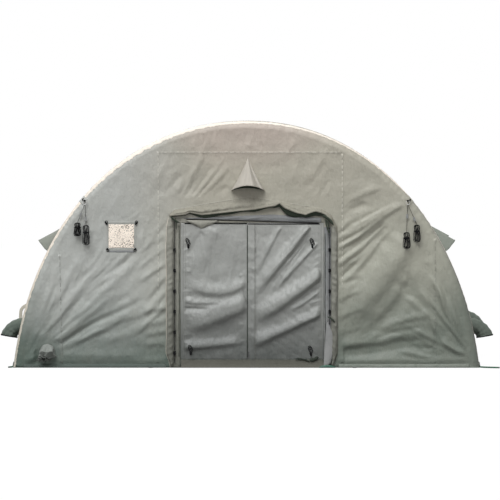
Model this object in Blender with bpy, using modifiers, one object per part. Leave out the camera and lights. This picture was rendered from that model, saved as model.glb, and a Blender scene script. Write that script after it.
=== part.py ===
"""Inflatable tunnel tent: four air-beam arches under a canvas cover, with a door, vents and ducts.

Metres, +Z up. The origin is the middle of the footprint on the ground. The front end wall, with
the door, faces -Y, and the length of the tent runs along Y.
"""

import math

import bmesh
import bpy
import numpy as np
from mathutils import Matrix, Vector

# Driving dimensions of the shelter
WIDTH = 5.6
HEIGHT = 2.96
LENGTH = 6.4
SECTION_DROP = 0.6          # the section is an oval whose centre lies this far under the ground
SECTION_POWER = 2.1
STATIONS = 24               # straight runs round the section
GAP = 0.0003                # clearance between pieces that rest on each other
SKIN = 0.004                # canvas with its lining
SHEET = 0.006               # groundsheet
SAG = 0.02                  # the cover dips this far between two arches
RIM = 0.10                  # radius on which the cover turns over the end arches
RIM_STEPS = 4
SEAM_GAP = 0.0009           # between roof and side wall, at the outer face
SEAM_STATION = 6            # station of the seam between side wall and roof

# Air beams
ARCHES = 4
BEAM = 0.12                 # radius of an arch beam
PURLIN = 0.07               # radius of a beam between two arches
PURLIN_STATION = 8

# Door in the front wall
DOOR_X = 0.07               # middle of the door, to the right of the tent's middle
DOOR_WIDTH = 1.72
DOOR_BOTTOM = 0.10
DOOR_TOP = 1.74
MEET_OFFSET = 0.058         # the leaves meet this far left of the door's middle
LEAF_CLEAR = 0.0015         # between the two leaves, and at their top and bottom
FOLD = 0.018                # depth of the folds in a leaf
STRIP_WIDTH = 0.105         # overlap strip on the right leaf
STRIP_PROUD = 0.003
STRIP_MARGIN = 1.05         # the folds stop at this many strip widths from the leaf's edge
JAMB_STRIP = 0.055
JAMB_GROOVE = 0.03
JAMB_ROLL = 0.085
JAMB_ROLL_DEPTH = 0.045
JAMB_PLATE = 0.004
JAMB_LEFT_RISE = 0.06       # of the left sleeve's top over the door's top
JAMB_RIGHT_RISE = -0.04
JAMB_FACE = 0.012           # thickness of the flat strip
LACE_SHORT = 0.02           # the lacing ends this far below the sleeve's top
LACE_BOTTOM = 0.06
TOGGLES = 6
TOGGLE_PITCH = 0.247
TOGGLE_FIRST = 0.18
TOGGLE = 0.011              # radius of a toggle
TOGGLE_LENGTH = 0.046
LACE = 0.004                # radius of the lacing cord

# Window in the front wall, left of the door
WINDOW_X = -1.50
WINDOW_Z = 1.58
WINDOW_WIDTH = 0.31
WINDOW_HEIGHT = 0.29
WINDOW_LAP = 0.02           # the panel laps over the edge of its hole by this much
WINDOW_FRAME = 0.03
WINDOW_CLEAR = 0.001

# Vent hoods: half cones with an arched lip
HOOD_WIDTH = 0.40
HOOD_HEIGHT = 0.42
HOOD_DEPTH = 0.17
SIDE_HOOD_DEPTH = 0.24
HOOD_LIFT = 0.06            # the lip rises by this much in its middle
HOOD_SWEEP = 0.94           # share of the half cone that is made, from the lip upwards
HOOD_ROOT = 0.025           # the hood's edges start this far behind the wall, and are trimmed to it
FRONT_HOOD_X = 0.02
END_HOOD_BELOW_TOP = 0.83   # lips of the end hoods, below the top of the tent
VENT_HOLE = 0.06            # radius of the screened hole under an end hood
SIDE_HOOD_BELOW_TOP = 1.58

# Duct sleeves
DUCT = 0.10                 # radius of a sleeve
DUCT_FROM_FOOT = 0.41       # of the front duct's middle from the left foot of the wall
FRONT_DUCT_Z = 0.19
FRONT_DUCT_REACH = 0.099
FRONT_DUCT_DROP = 0.08
FRONT_DUCT_BEND = 62        # degrees
SIDE_DUCT_Z = 0.48
SIDE_DUCT_REACH = 0.24
SIDE_DUCT_DROP = 0.22
SIDE_DUCT_BEND = 80
DUCT_WAIST = 0.12           # share by which a sleeve narrows in its middle
DUCT_GATHER = 0.05          # share by which its mouth is gathered

# Guy lines, hanks, runners and ropes
GUY_BELOW_TOP = 0.93
GUY_STAND_OFF = 0.030       # of the hanging lines from the front wall
CORD = 0.0025               # radius of a guy line
HANK_CORD = 0.0035          # radius of the doubled cord in a hank
HANK_LOOPS = 3
LOOP_POINTS = 24
HANK_PITCH = 0.0086
ROPE = 0.010
PEG_CORD = 0.003

# Values worked out from the above
FRONT = -LENGTH / 2
FLOOR = SHEET + GAP
BEAM_INSET = SKIN + GAP + BEAM
PURLIN_INSET = SKIN + SAG + GAP + PURLIN
ARCH_Y = np.linspace(FRONT + BEAM_INSET, -FRONT - BEAM_INSET, ARCHES)
BAY = ARCH_Y[1] - ARCH_Y[0]
DOOR_LEFT = DOOR_X - DOOR_WIDTH / 2
DOOR_RIGHT = DOOR_X + DOOR_WIDTH / 2
MEET_X = DOOR_X - MEET_OFFSET
FACE = FRONT - GAP          # plane on which the pieces on the front wall are seated
JAMB_LEFT_TOP = DOOR_TOP + JAMB_LEFT_RISE
JAMB_RIGHT_TOP = DOOR_TOP + JAMB_RIGHT_RISE
END_HOOD_Z = HEIGHT - END_HOOD_BELOW_TOP
SIDE_HOOD_Z = HEIGHT - SIDE_HOOD_BELOW_TOP
GUY_Z = HEIGHT - GUY_BELOW_TOP
FRONT_DUCT_X = DUCT_FROM_FOOT - WIDTH / 2


def clear_scene():
    """Remove whatever the file holds before modelling."""
    for thing in list(bpy.data.objects):
        bpy.data.objects.remove(thing, do_unlink=True)
    for group in list(bpy.data.collections):
        bpy.data.collections.remove(group)


clear_scene()
PARTS = bpy.data.collections.new("inflatable_tent")
CUTTERS = bpy.data.collections.new("cutters")
bpy.context.scene.collection.children.link(PARTS)
bpy.context.scene.collection.children.link(CUTTERS)


def finish(name, colour, roughness, metallic=0.0):
    """A plain material."""
    material = bpy.data.materials.new(name)
    material.use_nodes = True
    shader = material.node_tree.nodes["Principled BSDF"]
    shader.inputs["Base Color"].default_value = (*colour, 1.0)
    shader.inputs["Roughness"].default_value = roughness
    shader.inputs["Metallic"].default_value = metallic
    material.diffuse_color = (*colour, 1.0)
    return material


CANVAS = finish("canvas", (0.36, 0.37, 0.33), 0.85)
BEAM_SKIN = finish("beam_skin", (0.10, 0.12, 0.10), 0.55)
FLOOR_SKIN = finish("floor_skin", (0.12, 0.15, 0.12), 0.6)
EDGE_CLOTH = finish("edge_cloth", (0.47, 0.44, 0.36), 0.85)
BLACK_CORD = finish("black_cord", (0.015, 0.015, 0.015), 0.75)
GREY_RUNNER = finish("grey_runner", (0.22, 0.23, 0.21), 0.5)
GREEN_ROPE = finish("green_rope", (0.02, 0.10, 0.05), 0.8)
CLEAR_PANEL = finish("window_panel", (0.78, 0.72, 0.62), 0.4)
VALVE_PLASTIC = finish("valve_plastic", (0.04, 0.04, 0.04), 0.45)


# Shared shapes


def keep(name, data, material, collection=None):
    """Put mesh or curve data in the scene as a named piece."""
    thing = bpy.data.objects.new(name, data)
    (collection or PARTS).objects.link(thing)
    if material:
        data.materials.append(material)
    if collection is CUTTERS:
        thing.hide_render = True
        thing.display_type = "WIRE"
    return thing


def mesh_piece(name, bm, material, collection=None, smooth=True):
    """Turn a bmesh into a piece, round faces shaded smooth."""
    data = bpy.data.meshes.new(name)
    bm.to_mesh(data)
    bm.free()
    if smooth:
        data.shade_smooth()
        data.set_sharp_from_angle(angle=math.radians(35))
    return keep(name, data, material, collection)


def boolean(target, cutter, operation="DIFFERENCE"):
    """Cut or join one piece with another."""
    step = target.modifiers.new(cutter.name, "BOOLEAN")
    step.operation = operation
    step.solver = "EXACT"
    step.object = cutter


def solidify(thing, thickness):
    """Give an open sheet its thickness, on the side its faces turn away from."""
    shell = thing.modifiers.new("thickness", "SOLIDIFY")
    shell.thickness = thickness
    shell.offset = -1
    shell.use_even_offset = True


def sheet(name, grid, thickness, material, closed=False):
    """A cloth sheet through a grid of points, rows by columns. Its outer face looks along
    the cross product of the column and row directions. A closed sheet is a sleeve."""
    rows, columns = grid.shape[:2]
    bm = bmesh.new()
    bmesh.ops.create_grid(bm, x_segments=columns - 1, y_segments=rows - 1, size=0.5)
    bm.verts.ensure_lookup_table()
    for vert, point in zip(bm.verts, grid.reshape(-1, 3)):
        vert.co = point
    if closed:
        bmesh.ops.remove_doubles(bm, verts=bm.verts, dist=1e-5)
    thing = mesh_piece(name, bm, material)
    solidify(thing, thickness)
    return thing


def box(name, low, high, material, collection=None):
    """A box between two corners, from the cube primitive."""
    low = Vector(low)
    high = Vector(high)
    bm = bmesh.new()
    bmesh.ops.create_cube(bm, size=1.0)
    size = high - low
    bmesh.ops.scale(bm, vec=size, verts=bm.verts)
    bmesh.ops.translate(bm, vec=(low + high) / 2, verts=bm.verts)
    return mesh_piece(name, bm, material, collection, smooth=False)


def plate(name, outlines, thickness, material):
    """A flat plate from closed outlines in its own X and Y, the later ones being holes. Its
    middle plane is its own Z = 0."""
    curve = bpy.data.curves.new(name, "CURVE")
    curve.dimensions = "2D"
    curve.fill_mode = "BOTH"
    curve.extrude = thickness / 2
    for outline in outlines:
        spline = curve.splines.new("POLY")
        spline.points.add(len(outline) - 1)
        for point, (x, y) in zip(spline.points, outline):
            point.co = (x, y, 0, 1)
        spline.use_cyclic_u = True
    return keep(name, curve, material)


def stand_up(thing, y):
    """Turn a plate from its XY plane into the XZ plane at the given middle plane."""
    thing.rotation_euler = (math.pi / 2, 0, 0)
    thing.location = (0, y, 0)
    return thing


def tube(name, points, radius, material, resolution=2, cyclic=False, collection=None):
    """A round tube along points."""
    curve = bpy.data.curves.new(name, "CURVE")
    curve.dimensions = "3D"
    curve.bevel_depth = radius
    curve.bevel_resolution = resolution
    curve.use_fill_caps = True
    spline = curve.splines.new("POLY")
    spline.points.add(len(points) - 1)
    for point, place in zip(spline.points, points):
        point.co = (*place, 1)
    spline.use_cyclic_u = cyclic
    return keep(name, curve, material, collection)


def as_mesh(thing):
    """Change a curve piece into a mesh piece with welded caps, under the same name."""
    graph = bpy.context.evaluated_depsgraph_get()
    data = bpy.data.meshes.new_from_object(thing.evaluated_get(graph))
    name = thing.name
    place = thing.matrix_world.copy()
    home = thing.users_collection[0]
    material = thing.data.materials[0] if thing.data.materials else None
    bpy.data.objects.remove(thing, do_unlink=True)
    bm = bmesh.new()
    bm.from_mesh(data)
    bmesh.ops.remove_doubles(bm, verts=bm.verts, dist=1e-5)
    bm.to_mesh(data)
    bm.free()
    data.materials.clear()
    solid = keep(name, data, material, home)
    solid.matrix_world = place
    return solid


def cut_level(thing, height):
    """Cut a mesh piece off level at a height and close it, keeping what is above."""
    bm = bmesh.new()
    bm.from_mesh(thing.data)
    cut = bmesh.ops.bisect_plane(
        bm,
        geom=bm.verts[:] + bm.edges[:] + bm.faces[:],
        plane_co=(0, 0, height),
        plane_no=(0, 0, 1),
        clear_inner=True,
    )
    edges = [item for item in cut["geom_cut"] if isinstance(item, bmesh.types.BMEdge)]
    bmesh.ops.holes_fill(bm, edges=edges, sides=0)
    bmesh.ops.recalc_face_normals(bm, faces=bm.faces)
    bm.to_mesh(thing.data)
    bm.free()


def turned(name, profile, material, steps=16):
    """A turned piece: a profile of (radius, height) from top to bottom, swept about its own Z."""
    bm = bmesh.new()
    verts = [bm.verts.new((radius, 0, height)) for radius, height in profile]
    for first, second in zip(verts, verts[1:]):
        bm.edges.new((first, second))
    thing = mesh_piece(name, bm, material, smooth=False)
    screw = thing.modifiers.new("turn", "SCREW")
    screw.steps = steps
    screw.render_steps = steps
    screw.use_merge_vertices = True
    screw.merge_threshold = 0.00005
    return thing


# The section of the tent


def oval():
    """Points round the outer face from the left foot over the top to the right foot."""
    rise = HEIGHT + SECTION_DROP
    share = SECTION_DROP / rise
    half = WIDTH / 2 / (1 - share**SECTION_POWER) ** (1 / SECTION_POWER)
    start = math.asin(share ** (SECTION_POWER / 2))
    turn = np.linspace(start, math.pi / 2, 400)
    x = half * np.abs(np.cos(turn)) ** (2 / SECTION_POWER)
    z = rise * np.sin(turn) ** (2 / SECTION_POWER) - SECTION_DROP
    x[-1] = 0.0
    run = np.concatenate([[0], np.cumsum(np.hypot(np.diff(x), np.diff(z)))])
    steps = np.linspace(0, run[-1], STATIONS // 2 + 1)
    side = np.stack([np.interp(steps, run, x), np.interp(steps, run, z)], axis=1)
    mirrored = side * [-1, 1]
    return np.concatenate([mirrored, side[::-1][1:]])


def runs():
    """Unit directions of the straight runs, and their normals into the tent."""
    run = np.diff(oval(), axis=0)
    run /= np.linalg.norm(run, axis=1)[:, None]
    return run, np.stack([run[:, 1], -run[:, 0]], axis=1)


FOOT_LEAN = runs()[0][0][0]                 # share of a thickness by which a wall's inner edge drops
SKIN_FLOOR = FLOOR + SKIN * FOOT_LEAN


def section(inset, floor=FLOOR):
    """The section drawn in by a distance, with its feet cut off at a height."""
    points = oval()
    run, inward = runs()
    moved = points.copy()
    for i in range(1, len(points) - 1):
        share = 1 + inward[i - 1] @ inward[i]
        moved[i] = points[i] + inset * (inward[i - 1] + inward[i]) / share
    for end, edge in ((0, 0), (-1, -1)):
        foot = points[end] + inset * inward[edge]
        moved[end] = foot + run[edge] * (floor - foot[1]) / run[edge][1]
    return moved


def on_side(side, height, inset=0.0):
    """The point of the section at a height, and its outward normal, on side -1 or +1."""
    points = section(inset)
    half = points[STATIONS // 2 :][::-1] if side > 0 else points[: STATIONS // 2 + 1]
    x = np.interp(height, half[:, 1], half[:, 0])
    index = int(np.searchsorted(half[:, 1], height)) - 1
    run = half[index + 1] - half[index]
    run /= np.linalg.norm(run)
    normal = np.array([side * run[1], -side * run[0]])
    return np.array([x, height]), normal


def dip(y):
    """How far the cover dips at y: nothing over an arch, SAG in the middle of a bay."""
    if y <= ARCH_Y[0] or y >= ARCH_Y[-1]:
        return 0.0
    return SAG * (1 - math.cos(2 * math.pi * (y - ARCH_Y[0]) / BAY)) / 2


def cover_rows(grow=0.0):
    """Places along the tent as (y, inset) pairs, from the front lip to the rear lip."""
    turn = np.linspace(0, math.pi / 2, RIM_STEPS + 1)
    front = [(FRONT + RIM * (1 - math.cos(a)) - grow, RIM * (1 - math.sin(a)) - grow) for a in turn]
    middle = []
    for k in range(ARCHES - 1):
        for share in (0, 0.25, 0.5, 0.75):
            y = ARCH_Y[k] + share * BAY
            middle.append((y, dip(y) - grow))
    middle.append((ARCH_Y[-1], -grow))
    rear = [(-y, inset) for y, inset in front[::-1]]
    return front + middle + rear


def cover_grid(first, last, grow=0.0, floor=SKIN_FLOOR, trim=(0, 0)):
    """Grid of the cover's outer face between two stations. Trim draws its long edges back."""
    grid = []
    for y, inset in cover_rows(grow):
        points = section(inset, floor)[first : last + 1].copy()
        for end, neighbour, amount in ((0, 1, trim[0]), (-1, -2, trim[1])):
            way = points[neighbour] - points[end]
            points[end] = points[end] + way / np.linalg.norm(way) * amount
        grid.append([(x, y, z) for x, z in points])
    return np.array(grid)


# The cover in three panels, and a guide solid of its outside for trimming what sits on it

half_seam = SEAM_GAP / 2
side_wall_left = sheet(
    "side_wall_left", cover_grid(0, SEAM_STATION, trim=(0, half_seam)), SKIN, CANVAS
)
roof_cover = sheet(
    "roof_cover",
    cover_grid(SEAM_STATION, STATIONS - SEAM_STATION, trim=(half_seam, half_seam)),
    SKIN,
    CANVAS,
)
side_wall_right = sheet(
    "side_wall_right",
    cover_grid(STATIONS - SEAM_STATION, STATIONS, trim=(half_seam, 0)),
    SKIN,
    CANVAS,
)


def outside_solid():
    """The whole tent as one solid, larger than the cover by the clearance."""
    grid = cover_grid(0, STATIONS, grow=GAP, floor=-0.5)
    rows, columns = grid.shape[:2]
    bm = bmesh.new()
    bmesh.ops.create_grid(bm, x_segments=columns - 1, y_segments=rows - 1, size=0.5)
    bm.verts.ensure_lookup_table()
    for vert, point in zip(bm.verts, grid.reshape(-1, 3)):
        vert.co = point
    corner = [[bm.verts[r * columns + c] for c in range(columns)] for r in range(rows)]
    bm.faces.new(corner[0])
    bm.faces.new(corner[-1][::-1])
    bm.faces.new([row[0] for row in corner] + [row[-1] for row in corner[::-1]])
    bmesh.ops.recalc_face_normals(bm, faces=bm.faces)
    return mesh_piece("outside", bm, None, CUTTERS, smooth=False)


OUTSIDE = outside_solid()

# Groundsheet, on which everything stands
groundsheet = box(
    "groundsheet", (-WIDTH / 2, FRONT, 0), (WIDTH / 2, -FRONT, SHEET), FLOOR_SKIN
)

# Air beams: arches, and purlins fitted between them


def arch_path(inset):
    """Centre line of an arch, with its ends below the floor."""
    return section(inset, floor=-0.15)


def arch(name, y, radius, material, collection=None):
    """One arch beam, its feet cut off level on the groundsheet."""
    path = [(x, y, z) for x, z in arch_path(BEAM_INSET)]
    beam = as_mesh(tube(name, path, radius, material, resolution=4, collection=collection))
    if collection is None:
        cut_level(beam, FLOOR)
    beam.data.shade_smooth()
    beam.data.set_sharp_from_angle(angle=math.radians(40))
    return beam


for number, arch_y in enumerate(ARCH_Y, 1):
    arch(f"arch_beam_{number}", arch_y, BEAM, BEAM_SKIN)
    arch(f"arch_{number}_clearance", arch_y, BEAM + GAP, None, CUTTERS)

for side_name, station in (("left", PURLIN_STATION), ("right", STATIONS - PURLIN_STATION)):
    purlin_x, purlin_z = section(PURLIN_INSET)[station]
    for bay in range(ARCHES - 1):
        bm = bmesh.new()
        bmesh.ops.create_cone(
            bm, cap_ends=True, segments=12, radius1=PURLIN, radius2=PURLIN, depth=BAY
        )
        bmesh.ops.rotate(bm, matrix=Matrix.Rotation(math.pi / 2, 3, "X"), verts=bm.verts)
        purlin = mesh_piece(f"purlin_{side_name}_{bay + 1}", bm, BEAM_SKIN)
        purlin.location = (purlin_x, ARCH_Y[bay] + BAY / 2, purlin_z)
        boolean(purlin, bpy.data.objects[f"arch_{bay + 1}_clearance"])
        boolean(purlin, bpy.data.objects[f"arch_{bay + 2}_clearance"])

# End walls


def rectangle(left, right, bottom, top):
    """Corners of an upright rectangle."""
    return [(left, bottom), (right, bottom), (right, top), (left, top)]


def circle(x, z, radius, count=16):
    """Points on a circle."""
    turn = np.linspace(0, 2 * math.pi, count, endpoint=False)
    return [(x + radius * math.cos(a), z + radius * math.sin(a)) for a in turn]


LIP_LEAN = math.sin(math.pi / 4 / RIM_STEPS)
END_OUTLINE = [tuple(point) for point in section(RIM + SKIN * LIP_LEAN + GAP)]
FRONT_HOLES = [
    rectangle(DOOR_LEFT, DOOR_RIGHT, DOOR_BOTTOM, DOOR_TOP),
    rectangle(
        WINDOW_X - WINDOW_WIDTH / 2 + WINDOW_LAP,
        WINDOW_X + WINDOW_WIDTH / 2 - WINDOW_LAP,
        WINDOW_Z - WINDOW_HEIGHT / 2 + WINDOW_LAP,
        WINDOW_Z + WINDOW_HEIGHT / 2 - WINDOW_LAP,
    ),
    circle(FRONT_DUCT_X, FRONT_DUCT_Z, DUCT - SKIN),
    circle(FRONT_HOOD_X, END_HOOD_Z + HOOD_HEIGHT / 2, VENT_HOLE, 12),
]
stand_up(plate("front_wall", [END_OUTLINE, *FRONT_HOLES], SKIN, CANVAS), FRONT + SKIN / 2)
rear_vent = circle(0, END_HOOD_Z + HOOD_HEIGHT / 2, VENT_HOLE, 12)
stand_up(plate("rear_wall", [END_OUTLINE, rear_vent], SKIN, CANVAS), -FRONT - SKIN / 2)

# Vent hoods


def hood(name, base, across, up, out, depth):
    """A half cone of cloth on a wall, open at its lower end. Base is the middle of the lip on
    the wall, and across, up and out are its directions."""
    base, across, up, out = (np.asarray(v, dtype=float) for v in (base, across, up, out))
    rows = 6
    columns = 11
    grid = np.zeros((rows, columns, 3))
    for r, rise in enumerate(np.linspace(0, HOOD_SWEEP, rows)):
        taper = 1 - rise
        for c, turn in enumerate(np.linspace(math.pi, 0, columns)):
            wide = HOOD_WIDTH / 2 * taper * math.cos(turn)
            stand = depth * taper * math.sin(turn)
            lift = HOOD_LIFT * taper * math.sin(turn) ** 2
            if c in (0, columns - 1):
                stand = -HOOD_ROOT
            grid[r, c] = base + across * wide + out * stand + up * (HOOD_HEIGHT * rise + lift)
    thing = sheet(name, grid, SKIN, CANVAS)
    boolean(thing, OUTSIDE)
    return thing


hood("front_vent_hood", (FRONT_HOOD_X, FRONT, END_HOOD_Z), (1, 0, 0), (0, 0, 1), (0, -1, 0), HOOD_DEPTH)
hood("rear_vent_hood", (0, -FRONT, END_HOOD_Z), (-1, 0, 0), (0, 0, 1), (0, 1, 0), HOOD_DEPTH)

SIDE_HOOD_Y = (ARCH_Y[0] + BAY / 2, ARCH_Y[2] + BAY / 2)
for side_name, side in (("left", -1), ("right", 1)):
    low_point, _ = on_side(side, SIDE_HOOD_Z, SAG)
    high_point, _ = on_side(side, SIDE_HOOD_Z + HOOD_HEIGHT, SAG)
    climb = (high_point - low_point) / np.linalg.norm(high_point - low_point)
    outward = (side * climb[1], 0, -side * climb[0])
    for number, hood_y in enumerate(SIDE_HOOD_Y, 1):
        hood(
            f"side_hood_{side_name}_{number}",
            (low_point[0], hood_y, low_point[1]),
            (0, side, 0),
            (climb[0], 0, climb[1]),
            outward,
            SIDE_HOOD_DEPTH,
        )

# Duct sleeves


def sleeve(name, root, out, reach, drop, bend):
    """A short cloth duct that leaves a wall squarely and droops, its mouth gathered."""
    root = np.asarray(root, dtype=float)
    out = np.asarray(out, dtype=float)
    out /= np.linalg.norm(out)
    across = np.cross(out, (0, 0, 1))
    across /= np.linalg.norm(across)
    rows = 6
    columns = 17
    grid = np.zeros((rows, columns, 3))
    for r in range(rows):
        share = r / (rows - 1)
        angle = math.radians(bend) * share
        middle = root + out * (reach * math.sin(angle) - 0.02 * (1 - share))
        middle = middle - np.array([0, 0, drop * (1 - math.cos(angle))])
        ahead = out * reach * math.cos(angle) - np.array([0, 0, drop * math.sin(angle)])
        ahead /= np.linalg.norm(ahead)
        over = np.cross(across, ahead)
        for c, turn in enumerate(np.linspace(0, 2 * math.pi, columns)):
            radius = DUCT * (1 - DUCT_WAIST * math.sin(math.pi * share))
            radius *= 1 + DUCT_GATHER * share * math.cos(5 * turn)
            grid[r, c] = middle + radius * (math.cos(turn) * across + math.sin(turn) * over)
    thing = sheet(name, grid[:, ::-1], SKIN, CANVAS, closed=True)
    boolean(thing, OUTSIDE)
    return thing


def drum(name, root, out, radius, length):
    """A round cutter across a wall."""
    bm = bmesh.new()
    bmesh.ops.create_cone(
        bm, cap_ends=True, segments=16, radius1=radius, radius2=radius, depth=length
    )
    thing = mesh_piece(name, bm, None, CUTTERS)
    thing.rotation_euler = Vector((0, 0, 1)).rotation_difference(Vector(out)).to_euler()
    thing.location = root
    return thing


front_root = (FRONT_DUCT_X, FRONT, FRONT_DUCT_Z)
sleeve("duct_sleeve_front", front_root, (0, -1, 0), FRONT_DUCT_REACH, FRONT_DUCT_DROP, FRONT_DUCT_BEND)

SIDE_DUCTS = (
    ("duct_sleeve_right_1", 1, ARCH_Y[0] + BAY / 2, side_wall_right),
    ("duct_sleeve_right_2", 1, ARCH_Y[2] + BAY / 2, side_wall_right),
    ("duct_sleeve_left_1", -1, ARCH_Y[0] + BAY / 2, side_wall_left),
)
for duct_name, side, duct_y, wall in SIDE_DUCTS:
    point, normal = on_side(side, SIDE_DUCT_Z, SAG)
    root = (point[0], duct_y, point[1])
    out = (normal[0], 0, normal[1])
    sleeve(duct_name, root, out, SIDE_DUCT_REACH, SIDE_DUCT_DROP, SIDE_DUCT_BEND)
    boolean(wall, drum(f"{duct_name}_hole", root, out, DUCT - SKIN, 3 * DUCT))

# Door: sill, jamb sleeves with lacing, head strip, rain flap and two leaves


def jamb(name, side, edge, top):
    """Cloth sleeve beside the door: flat strip, groove for the lacing and an outer roll."""
    groove = JAMB_STRIP + JAMB_GROOVE
    outer = groove + JAMB_ROLL
    profile = [(0.002, 0), (0.002, JAMB_FACE), (JAMB_STRIP, JAMB_FACE), (JAMB_STRIP, JAMB_PLATE)]
    for turn in np.linspace(0.1, math.pi, 9):
        reach = (groove + outer) / 2 - JAMB_ROLL / 2 * math.cos(turn)
        profile.append((reach, max(JAMB_ROLL_DEPTH * math.sin(turn), 0)))
    profile.insert(4, (groove, JAMB_PLATE))
    points = [(edge + side * reach, FACE - rise) for reach, rise in profile]
    thing = plate(name, [points], top, EDGE_CLOTH)
    thing.location = (0, 0, top / 2)
    return thing


def lacing(name, x, top):
    """Lacing cord with its row of barrel toggles, turned as one string."""
    profile = [(0, top), (LACE, top)]
    half = TOGGLE_LENGTH / 2
    for k in reversed(range(TOGGLES)):
        middle = TOGGLE_FIRST + k * TOGGLE_PITCH
        for rise, radius in ((half, LACE), (half * 0.8, TOGGLE), (-half * 0.8, TOGGLE), (-half, LACE)):
            profile.append((radius, middle + rise))
    profile += [(LACE, LACE_BOTTOM), (0, LACE_BOTTOM)]
    thing = turned(name, profile, BLACK_CORD, steps=8)
    thing.location = (x, FACE - JAMB_PLATE - GAP - TOGGLE, 0)
    return thing


groove_middle = JAMB_STRIP + JAMB_GROOVE / 2
jamb("jamb_sleeve_left", -1, DOOR_LEFT, JAMB_LEFT_TOP)
jamb("jamb_sleeve_right", 1, DOOR_RIGHT, JAMB_RIGHT_TOP)
lacing("jamb_lacing_left", DOOR_LEFT - groove_middle, JAMB_LEFT_TOP - LACE_SHORT)
lacing("jamb_lacing_right", DOOR_RIGHT + groove_middle, JAMB_RIGHT_TOP - LACE_SHORT)

SILL_SHORT = 0.004          # the sill stops this far from each edge of the door
SILL_DEPTH = 0.055
sill_width = DOOR_WIDTH - 2 * SILL_SHORT
sill_top = DOOR_BOTTOM - LEAF_CLEAR
SILL_PROFILE = [
    (FACE, 0.0),
    (FACE - SILL_DEPTH, 0.0),
    (FACE - SILL_DEPTH, 0.006),
    (FACE - 0.03, 0.016),
    (FACE - 0.012, sill_top * 0.6),
    (FACE - 0.006, sill_top),
    (FACE, sill_top),
]
sill = plate("door_sill", [SILL_PROFILE], sill_width, EDGE_CLOTH)
sill.rotation_euler = (math.pi / 2, 0, math.pi / 2)
sill.location = (DOOR_X, 0, 0)

HEAD_STRIP = [
    (DOOR_LEFT + 0.04, DOOR_TOP + 0.05),
    (DOOR_RIGHT - 0.03, DOOR_TOP + 0.005),
    (DOOR_RIGHT - 0.03, DOOR_TOP + 0.06),
    (DOOR_X + 0.25, DOOR_TOP + 0.10),
    (DOOR_LEFT + 0.04, DOOR_TOP + 0.058),
]
HEAD_THICK = 0.006
stand_up(plate("head_strip", [HEAD_STRIP], HEAD_THICK, CANVAS), FACE - HEAD_THICK / 2)

# Rain flap: its seam is a low gable and its free hem sags, as places from the middle of the
# door's top
FLAP_SEAM = ((-1.07, 0.14), (-0.90, 0.195), (-0.08, 0.325), (0.83, 0.21), (1.05, 0.13))
FLAP_HEM = (
    (-1.07, 0.095),
    (-0.85, 0.135),
    (-0.25, 0.145),
    (0.29, 0.20),
    (0.43, 0.16),
    (0.67, 0.095),
    (0.81, 0.125),
    (0.93, 0.06),
    (1.05, -0.01),
)


def rain_flap():
    """The flap over the door: from its seam on the wall it swells out to a curled hem."""
    columns = 25
    swell = ((0.0, SKIN + 2 * GAP), (0.35, 0.018), (0.7, 0.040), (1.0, 0.052), (1.12, 0.040), (1.0, 0.024))
    grid = np.zeros((len(swell), columns, 3))
    for c, x in enumerate(np.linspace(FLAP_SEAM[0][0], FLAP_SEAM[-1][0], columns)):
        seam = np.interp(x, *np.transpose(FLAP_SEAM))
        hem = np.interp(x, *np.transpose(FLAP_HEM))
        for r, (fall, stand) in enumerate(swell):
            down = seam - (seam - hem) * fall
            curl = -0.012 if r == 4 else 0.0
            grid[r, c] = (DOOR_X + x, FRONT - stand, DOOR_TOP + down + curl)
    return sheet("rain_flap", grid[::-1], SKIN, EDGE_CLOTH)


rain_flap()


def ease(value):
    """Smooth step from 0 to 1."""
    value = min(max(value, 0.0), 1.0)
    return value * value * (3 - 2 * value)


def leaf_folds(share, height, flat):
    """Depth of a leaf's folds at a share of its width from the hinge and of its height. The
    last share of the width, flat, has none."""
    fade = ease(share / 0.2) * ease((1 - flat - share) / 0.2)
    fade *= ease(height / 0.15) * ease((1 - height) / 0.12)
    if flat:
        wave = math.sin(2 * math.pi * (2.4 * height + 1.5 * share))
    else:
        wave = math.sin(2 * math.pi * (2.1 * height - 0.9 * share))
    return FOLD * fade * wave


def door_leaf(name, side):
    """One door leaf, hinged on its jamb, with its main folds."""
    hinge = DOOR_LEFT + GAP if side < 0 else DOOR_RIGHT - GAP
    width = abs(hinge - MEET_X) - LEAF_CLEAR / 2
    flat = STRIP_MARGIN * STRIP_WIDTH / width if side > 0 else 0.0
    bottom = DOOR_BOTTOM + GAP
    height = DOOR_TOP - LEAF_CLEAR - bottom
    columns = 13
    rows = 14
    grid = np.zeros((rows, columns, 3))
    for r, level in enumerate(np.linspace(0, 1, rows)):
        for c, share in enumerate(np.linspace(0, 1, columns)):
            depth = leaf_folds(share, level, flat)
            grid[r, c] = (-side * share * width, -depth, level * height)
    if side > 0:
        grid = grid[:, ::-1]
    leaf = sheet(name, grid, SKIN, CANVAS)
    leaf.location = (hinge, FRONT, bottom)
    return leaf, width, height


door_leaf("door_leaf_left", -1)
right_leaf, leaf_width, leaf_height = door_leaf("door_leaf_right", 1)
strip = box(
    "overlap_strip",
    (-leaf_width, -STRIP_PROUD, 0.002),
    (-leaf_width + STRIP_WIDTH, SKIN / 2, leaf_height - 0.002),
    CANVAS,
    CUTTERS,
)
strip.location = right_leaf.location
boolean(right_leaf, strip, "UNION")

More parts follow.
